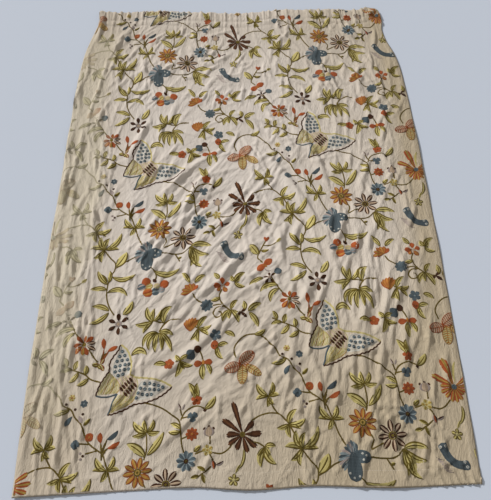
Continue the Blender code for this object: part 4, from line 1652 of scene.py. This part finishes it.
# %% Sew the butterfly
def wing_grounds():
    """Rows laid between two edges: white under the dots, straw inside and tan at the body."""
    rows = filled_between(*DOTTED_UPPER, ("white",) * 9, 0.85, -0.2)
    rows += filled_between(*DOTTED_LOWER, ("white",) * 9, 0.85, -0.2)
    rows += filled_between(*INNER_UPPER, ("straw", "lime", "straw", "gold") * 3, 0.9, -0.1)
    rows += filled_between(*INNER_LOWER, ("straw", "lime", "straw", "gold") * 3, 0.9, -0.1)
    rows += filled_between(*BODY_GROUND, ("tan", "tan", "straw") * 4, 0.85, -0.15)
    for points in STRAW_LOOPS:
        rows += outline(points, "lime", 2.4, 3.0, 0.5, LOOP_PITCH)
    return rows


def butterfly():
    """Grounds, dots and edges, and the body: pairs of ribs across its spine, and the spine."""
    rows = wing_grounds()
    for x, y in WING_DOTS:
        rows += solid_round(x, y, WING_DOT_RADIUS, ("slate", "slate", "sky"), 0.4)
    for edge in WING_EDGES:
        rows += outline(*edge)
    for place in RIB_PLACES:
        for side in (-1.0, 1.0):
            root, tip = (BODY_MIDDLE + place * BODY_ALONG + side * end * BODY_ACROSS for end in RIB_ENDS)
            rows += blade(root, tip, RIB_WIDTH, ("brown",), 0.0, 1.0, 0.3, 1.2)
    spine = SPINE_REACH * BODY_ALONG
    rows += blade(BODY_MIDDLE - spine, BODY_MIDDLE + spine, SPINE_WIDTH, ("tan",), 0.0, 1.0, 0.3, 2.2)
    return rows


motifs += butterfly()
print(len(motifs), "rows in all the large motifs of one repeat")

# %% [markdown]
# ## Sewing the repeat onto the cloth
#
# Each copy of the repeat is moved to its place on the lattice. Towards the heading the cloth
# draws in, so the stitches draw in with it, and a table says how far the old cloth is dragged
# out of square elsewhere. A stitch then finds its place on the cloth's own grid, and takes its
# height from the four grid points round it, weighted by how near they are. Faces that fall
# outside the cloth are dropped, and those on its edge end there.

# %% Find a place on the cloth
REPEAT_MIDDLE = (0.001, -0.0149)
COLUMN_STEP = (0.599, 0.111)
ROW_STEP = (-0.0085, -0.7186)
EDGE_MARGIN = 0.004
DRAW_IN_FROM = 0.58
DRAW_IN_WIDTH = 0.915

Drawn = namedtuple("Drawn", "height across along")
DRAWN_PLACES = (-0.6, -0.3, 0.0, 0.3, 0.6)
DRAWN_OUT = (
    Drawn(-0.85, (-18, -15, -13, -8, -6), (-8, 2, 8, -4, -8)),
    Drawn(-0.60, (-10, -9, -7, -6, -4), (-12, -3, 6, 4, -9)),
    Drawn(-0.30, (-1, 2, 0, -2, 2), (-12, -4, 3, 5, -5)),
    Drawn(0.00, (3, 9, 8, 2, 2), (-11, -7, -3, -7, -7)),
    Drawn(0.30, (7, 4, -3, -5, -4), (-7, -3, 3, -5, -8)),
    Drawn(0.55, (4, -2, -5, -5, -7), (8, 12, -5, -16, -10)),
    Drawn(0.70, (2, -7, -10, -4, -7), (26, 20, -1, -15, -6)),
    Drawn(0.85, (-2, -6, -8, 1, 3), (23, 19, 1, -7, -2)),
)

TOP_ROWS = np.flatnonzero(V_SINK < 0.9)
TOP_COLUMNS = np.flatnonzero(U_SINK < 0.9)
top_z = cloth_z[np.ix_(TOP_ROWS, TOP_COLUMNS)]


def flat_place(x, y):
    """Share (u, v) of the cloth's width and length at a plan place, undoing plan_of."""
    bottom = edge_offset(BOTTOM_EDGE, x) - PANEL_LENGTH / 2.0
    top = top_edge(x) + PANEL_LENGTH / 2.0
    v = (y - bottom) / (top - bottom)
    left, right = sides_at(v.clip(0.0, 1.0) * PANEL_LENGTH)
    return (x - left) / (right - left), v


def drawn_in(x, y):
    """x shrinks smoothly by a share of the way from where the cloth draws in to its top edge."""
    t = ramp(y, DRAW_IN_FROM, PANEL_LENGTH / 2.0)
    return x * (1.0 - (1.0 - DRAW_IN_WIDTH) * t * t * (3.0 - 2.0 * t))


def height_between(grid, u, v):
    """Bilinear height: the four grid values round a place, weighted by nearness."""
    across = u.clip(0.0, 1.0) * (grid.shape[1] - 1)
    along = v.clip(0.0, 1.0) * (grid.shape[0] - 1)
    i = np.minimum(across.astype(int), grid.shape[1] - 2)
    j = np.minimum(along.astype(int), grid.shape[0] - 2)
    s = across - i
    t = along - j
    low = grid[j, i] * (1.0 - s) + grid[j, i + 1] * s
    high = grid[j + 1, i] * (1.0 - s) + grid[j + 1, i + 1] * s
    return low * (1.0 - t) + high * t


def out_of_square(x, y):
    """The place moved as the cloth was dragged there: charted moves in mm, bilinear between."""
    u = np.interp(x, DRAWN_PLACES, np.linspace(0.0, 1.0, len(DRAWN_PLACES)))
    v = np.interp(y, [line.height for line in DRAWN_OUT], np.linspace(0.0, 1.0, len(DRAWN_OUT)))
    across = height_between(np.array([line.across for line in DRAWN_OUT]), u, v)
    along = height_between(np.array([line.along for line in DRAWN_OUT]), u, v)
    return x + across / 1000.0, y + along / 1000.0


print("one repeat is", COLUMN_STEP[0], "m across and", -ROW_STEP[1], "m along")

# %% Sew every copy
def joined_rows(rows):
    """All rows of one yarn as one set of arrays, with the corners of their faces."""
    sizes = [len(row.points) for row in rows]
    starts = np.concatenate([[0], np.cumsum(sizes)[:-1]]) * 3
    quads = np.concatenate([grid_quads(size, 3) + start for size, start in zip(sizes, starts)])
    points = np.concatenate([row.points.reshape(-1, 2) for row in rows]) / 1000.0
    lift = np.concatenate([row.lift.ravel() for row in rows]) / 1000.0
    uv = np.concatenate([row.uv.reshape(-1, 2) for row in rows])
    shade = np.concatenate([row.shade.ravel() for row in rows])
    return points, lift, uv, shade, quads


def sewn_copy(rows, column, row):
    """One copy of the rows on the cloth: places, heights, UV, shade and the faces kept."""
    points, lift, uv, shade, quads = joined_rows(rows)
    x = points[:, 0] + REPEAT_MIDDLE[0] + column * COLUMN_STEP[0] + row * ROW_STEP[0]
    y = points[:, 1] + REPEAT_MIDDLE[1] + column * COLUMN_STEP[1] + row * ROW_STEP[1]
    x, y = out_of_square(drawn_in(x, y), y)
    u, v = flat_place(x, y)
    margin = EDGE_MARGIN / PANEL_WIDTH
    inside = (u > margin) & (u < 1.0 - margin) & (v > margin) & (v < 1.0 - margin)
    u = u.clip(margin, 1.0 - margin)
    v = v.clip(margin, 1.0 - margin)
    x, y = plan_of((u - 0.5) * PANEL_WIDTH, (v - 0.5) * PANEL_LENGTH)
    z = height_between(top_z, u, v) + lift
    return np.stack([x, y, z], axis=1), uv, shade, quads[inside[quads].any(axis=1)]


def used_only(points, quads, *others):
    """The arrays without the points that no face uses, and the faces counted anew."""
    used, quads = np.unique(quads, return_inverse=True)
    return points[used], quads.reshape(-1, 4), [other[used] for other in others]


ALL_COLUMNS = (-1, 0, 1)
ALL_ROWS = (-2, -1, 0, 1)
CHARTS = (
    (greenery + flowers + motifs, ALL_COLUMNS),
    (brown_stars, (0,)),
    (orange_stars, (-1, 1)),
)


def sewn_pieces():
    """The mesh of each yarn, joined from all its rows in all copies."""
    pieces = {}
    for yarn in sorted({row.yarn for rows, _ in CHARTS for row in rows}):
        found = []
        count = 0
        for rows, columns in CHARTS:
            chosen = [row for row in rows if row.yarn == yarn]
            for column in columns if chosen else ():
                for line in ALL_ROWS:
                    points, uv, shade, quads = sewn_copy(chosen, column, line)
                    points, quads, (uv, shade) = used_only(points, quads, uv, shade)
                    found.append((points, uv, shade, quads + count))
                    count += len(points)
        points, uv, shade, quads = (np.concatenate(arrays) for arrays in zip(*found))
        values = {
            "shade": shade,
            "faded": faded_share(points[:, 0], points[:, 1]),
            "yellowed_and_shaded": yellowed_and_shaded_share(points[:, 0], points[:, 1]),
        }
        pieces[yarn] = mesh_from_arrays("yarn_" + yarn, points, quads, uv, values)
    return pieces


yarn_pieces = sewn_pieces()
for yarn, piece in yarn_pieces.items():
    print(yarn, len(piece.data.polygons) * 2, "triangles")

# %% [markdown]
# ## Wool
#
# Wool is matt and hairy, and each dye lot differs a little, so a shape is lighter or darker than
# its neighbour. A chain stitch is a loop: two plump strands that meet at each end and leave a
# slot between them. The bump draws that from the UV map of the row, and the slot is painted
# darker as its shade. In the faded strip the colours have gone towards a pale grey beige, the
# fills further than the dark strokes, and where the cloth has yellowed and shade is painted in
# towards the lower right the wool is darker.

# %% Node group for the chain
HAIR_SCALE = 900.0
PLY_SHARE = 0.10


def chain_group():
    """Height of a chain row: (0.6 |sin(2 pi v)| + 0.4) |sin(pi u)|^0.5, with slanting plies.

    The first sine is the loop's two strands, and the second pinches them at each stitch. The hollow output is 1 minus
    the body: painted shade in the slot and at the pinches.
    """
    group, given, made = new_group(
        "chain_stitch",
        [("Twist", "NodeSocketFloat", 3.0)],
        [("Height", "NodeSocketFloat"), ("HollowShade", "NodeSocketFloat"), ("Heather", "NodeSocketFloat")],
    )
    place = add_node(group, "ShaderNodeUVMap", uv_map="laid").outputs["UV"]
    axes = add_node(group, "ShaderNodeSeparateXYZ", [("Vector", place)])
    along, across = axes.outputs["X"], axes.outputs["Y"]
    strands = math(group, "ABSOLUTE", math(group, "SINE", math(group, "MULTIPLY", across, 2.0 * np.pi)))
    link = math(group, "ABSOLUTE", math(group, "SINE", math(group, "MULTIPLY", along, np.pi)))
    link = math(group, "POWER", link, 0.5)
    slant = math(group, "ABSOLUTE", math(group, "SUBTRACT", across, 0.5))
    plies = math(group, "MULTIPLY_ADD", along, given.outputs["Twist"], math(group, "MULTIPLY", slant, 2.5))
    plies = math(group, "SINE", math(group, "MULTIPLY", plies, 2.0 * np.pi))
    body = math(group, "MULTIPLY", math(group, "MULTIPLY_ADD", strands, 0.6, 0.4), link)
    height = math(group, "MULTIPLY_ADD", plies, PLY_SHARE, body)
    where = add_node(group, "ShaderNodeTexCoord").outputs["Object"]
    group.links.new(height, made.inputs["Height"])
    # Painted shade: 1 minus the body, darkest in the slot between the strands and at the pinches.
    group.links.new(math(group, "SUBTRACT", 1.0, body), made.inputs["HollowShade"])
    group.links.new(noise_value(group, where, HAIR_SCALE, ("Detail", 3.0)), made.inputs["Heather"])
    return group


CHAIN = chain_group()
print("group:", CHAIN.name)

# %% Wool materials
WOOL = {
    "olive": linear(112, 95, 30),
    "lime": linear(208, 192, 122),
    "stem": linear(106, 88, 34),
    "rust": linear(170, 86, 42),
    "russet": linear(144, 78, 36),
    "orange": linear(190, 128, 60),
    "gold": linear(182, 148, 72),
    "brown": linear(72, 41, 18),
    "umber": linear(104, 64, 34),
    "tan": linear(202, 176, 148),
    "slate": linear(86, 98, 103),
    "sky": linear(150, 162, 164),
    "white": linear(208, 206, 196),
    "straw": linear(204, 190, 132),
    "mauve": linear(172, 156, 148),
}
WOOL_FADED = linear(186, 178, 154)
FADED_STROKES = 0.60
FADED_FILLS = 0.82
STROKE_YARNS = ("olive", "stem", "brown", "umber", "russet")
# How much darker the wool is where the cloth yellowed and where shade is painted in.
YELLOWED_AND_SHADED_LOSS = 0.24
SHADE_SPREAD = 0.16
HEATHER_SPREAD = 0.5
# How much darker the wool is painted in the slot between its strands, as shade.
HOLLOW_SHADE_LOSS = 0.45
WOOL_PATCHINESS = 0.8
STITCH_STRENGTH = 0.8
STITCH_DEPTH = 0.0007
WOOL_FINISH = (
    ("Roughness", 0.88),
    ("Specular IOR Level", 0.2),
    ("Sheen Weight", 0.06),
    ("Sheen Roughness", 0.5),
)


def wool_material(yarn, color):
    """Wool of one colour: its lightness is 1 - yellowing and painted shade - painted hollow shade + dye shade +
    heather, then it fades.
    """
    material = new_material("wool_" + yarn, WOOL_FINISH)
    tree = material.node_tree
    surface = tree.nodes["Principled BSDF"]
    chain = add_node(tree, "ShaderNodeGroup", node_tree=CHAIN)
    ageing = add_node(tree, "ShaderNodeGroup", [("Patchiness", WOOL_PATCHINESS)], node_tree=AGEING)
    heather = math(tree, "MULTIPLY_ADD", chain.outputs["Heather"], HEATHER_SPREAD, -0.5 * HEATHER_SPREAD)
    # Darker where the cloth yellowed and where shade is painted in towards the lower right.
    lightness = math(tree, "MULTIPLY_ADD", held_number(tree, "yellowed_and_shaded"), -YELLOWED_AND_SHADED_LOSS, 1.0)
    lightness = math(tree, "MULTIPLY_ADD", held_number(tree, "shade"), SHADE_SPREAD, lightness)
    lightness = math(tree, "ADD", lightness, heather)
    # Painted shade: darker in the slot between the strands and at the pinches.
    lightness = math(tree, "MULTIPLY_ADD", chain.outputs["HollowShade"], -HOLLOW_SHADE_LOSS, lightness)
    adjusted = add_node(tree, "ShaderNodeHueSaturation", [("Color", color), ("Value", lightness)])
    fading = FADED_STROKES if yarn in STROKE_YARNS else FADED_FILLS
    share = math(tree, "MULTIPLY", ageing.outputs["Faded"], fading)
    final = mix_color(tree, share, adjusted.outputs[0], WOOL_FADED)
    tree.links.new(final, surface.inputs["Base Color"])
    relief = [("Height", chain.outputs["Height"]), ("Strength", STITCH_STRENGTH), ("Distance", STITCH_DEPTH)]
    bump = add_node(tree, "ShaderNodeBump", relief)
    tree.links.new(bump.outputs[0], surface.inputs["Normal"])
    return material


for yarn, piece in yarn_pieces.items():
    piece.data.materials.append(wool_material(yarn, WOOL[yarn]))
print(len(yarn_pieces), "wools")

# %% [markdown]
# ## Hem stitches
#
# The hems and the two lines of the casing are held by short running stitches in the colour of
# the cloth. Each is a small raised strip across three points, laid as the wool is.

# %% Sew the hems
THREAD_PITCH = 4.2
THREAD_LENGTH = 2.6
THREAD_WIDTH = 1.0
THREAD_CREST = 0.9
THREAD_SUNK = 0.0002


def running_stitches(u, v, ahead_u, ahead_v):
    """Strips that start at (u, v) and run on by (ahead_u, ahead_v), as shares of the cloth.

    A strip has three by three points. It is highest at its middle, and falls to a tenth of that
    at its sides and to nothing at its two ends.
    """
    share = np.linspace(0.0, 1.0, 3)
    s = (u[:, None] + ahead_u * share[None, :] - 0.5) * PANEL_WIDTH
    t = (v[:, None] + ahead_v * share[None, :] - 0.5) * PANEL_LENGTH
    side = np.array([-0.0005, 0.0, 0.0005]) * THREAD_WIDTH
    along_x = np.abs(ahead_u) > np.abs(ahead_v)
    s = s[:, :, None] + (0.0 if along_x else 1.0) * side
    t = t[:, :, None] - (1.0 if along_x else 0.0) * side
    x, y = plan_of(s, t)
    lift = np.array([0.0, THREAD_CREST, 0.0])[:, None] * np.array([0.1, 1.0, 0.1])
    z = height_between(top_z, s / PANEL_WIDTH + 0.5, t / PANEL_LENGTH + 0.5) + lift / 1000.0 - THREAD_SUNK
    return np.stack([x.ravel(), y.ravel(), z.ravel()], axis=1)


def hem_stitches():
    """Five lines of running stitch: the bottom hem, both lines of the casing, the side hems."""
    step_u = THREAD_PITCH / 1000.0 / PANEL_WIDTH
    step_v = THREAD_PITCH / 1000.0 / PANEL_LENGTH
    dash_u = THREAD_LENGTH / 1000.0 / PANEL_WIDTH
    dash_v = THREAD_LENGTH / 1000.0 / PANEL_LENGTH
    across = np.arange(0.02, 0.98, step_u)
    along = np.arange(0.02, 0.94, step_v)
    lines = []
    for height in (HEM_DEPTH, PANEL_LENGTH - FRILL_DEPTH, PANEL_LENGTH - FRILL_DEPTH - CASING_DEPTH):
        lines.append(running_stitches(across, np.full_like(across, height / PANEL_LENGTH), dash_u, 0.0))
    for inset in (TURNED_SIDE, PANEL_WIDTH - TURNED_SIDE):
        lines.append(running_stitches(np.full_like(along, inset / PANEL_WIDTH), along, 0.0, dash_v))
    points = np.concatenate(lines)
    count = len(points) // 9
    quads = grid_quads(3, 3)[None, :, :] + 9 * np.arange(count)[:, None, None]
    uv = np.tile(np.stack(np.meshgrid([0.0, 0.5, 1.0], [0.0, 0.5, 1.0]), axis=2).reshape(-1, 2), (count, 1))
    return mesh_from_arrays("hem_stitches", points, quads.reshape(-1, 4), uv, {})


def thread_material():
    """Plain cotton thread, blotched between the cloth's own colour and its faded one."""
    material = new_material("cotton_thread", (("Roughness", 0.8),))
    tree = material.node_tree
    ageing = add_node(tree, "ShaderNodeGroup", node_tree=AGEING)
    color = mix_color(tree, ageing.outputs["Blotch"], COTTON, COTTON_FADED)
    tree.links.new(color, tree.nodes["Principled BSDF"].inputs["Base Color"])
    return material


hem_thread = hem_stitches()
hem_thread.data.materials.append(thread_material())
print(len(hem_thread.data.polygons), "faces of hem stitches")

# %% [markdown]
# ## Handing the pieces over
#
# The cloth stands for the engineered panel, and everything sewn on it goes with it. The sheet is
# declared with the size it was cut to, its turnings counted.

CUT_WIDTH = PANEL_WIDTH + 2.0 * TURNED_SIDE
CUT_LENGTH = PANEL_LENGTH + TURNED_HEM + TURNED_HEADING
sewn_on = [*yarn_pieces.values(), hem_thread]
for piece in (cloth, *sewn_on):
    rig.ride(piece, "root")
    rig.slot(piece, "cloth")
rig.replaces(cloth, "panel")
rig.sheet(cloth, flat=(CUT_WIDTH, CUT_LENGTH), held="laid", with_pieces=sewn_on)

VISUAL_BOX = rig.bounds()
with open("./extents.json", "w") as size_file:
    json.dump({"cad": CAD_BOX, "visual": VISUAL_BOX}, size_file, default=lambda box: np.asarray(box).tolist())
print("visual box:", np.round(VISUAL_BOX, 4).tolist())
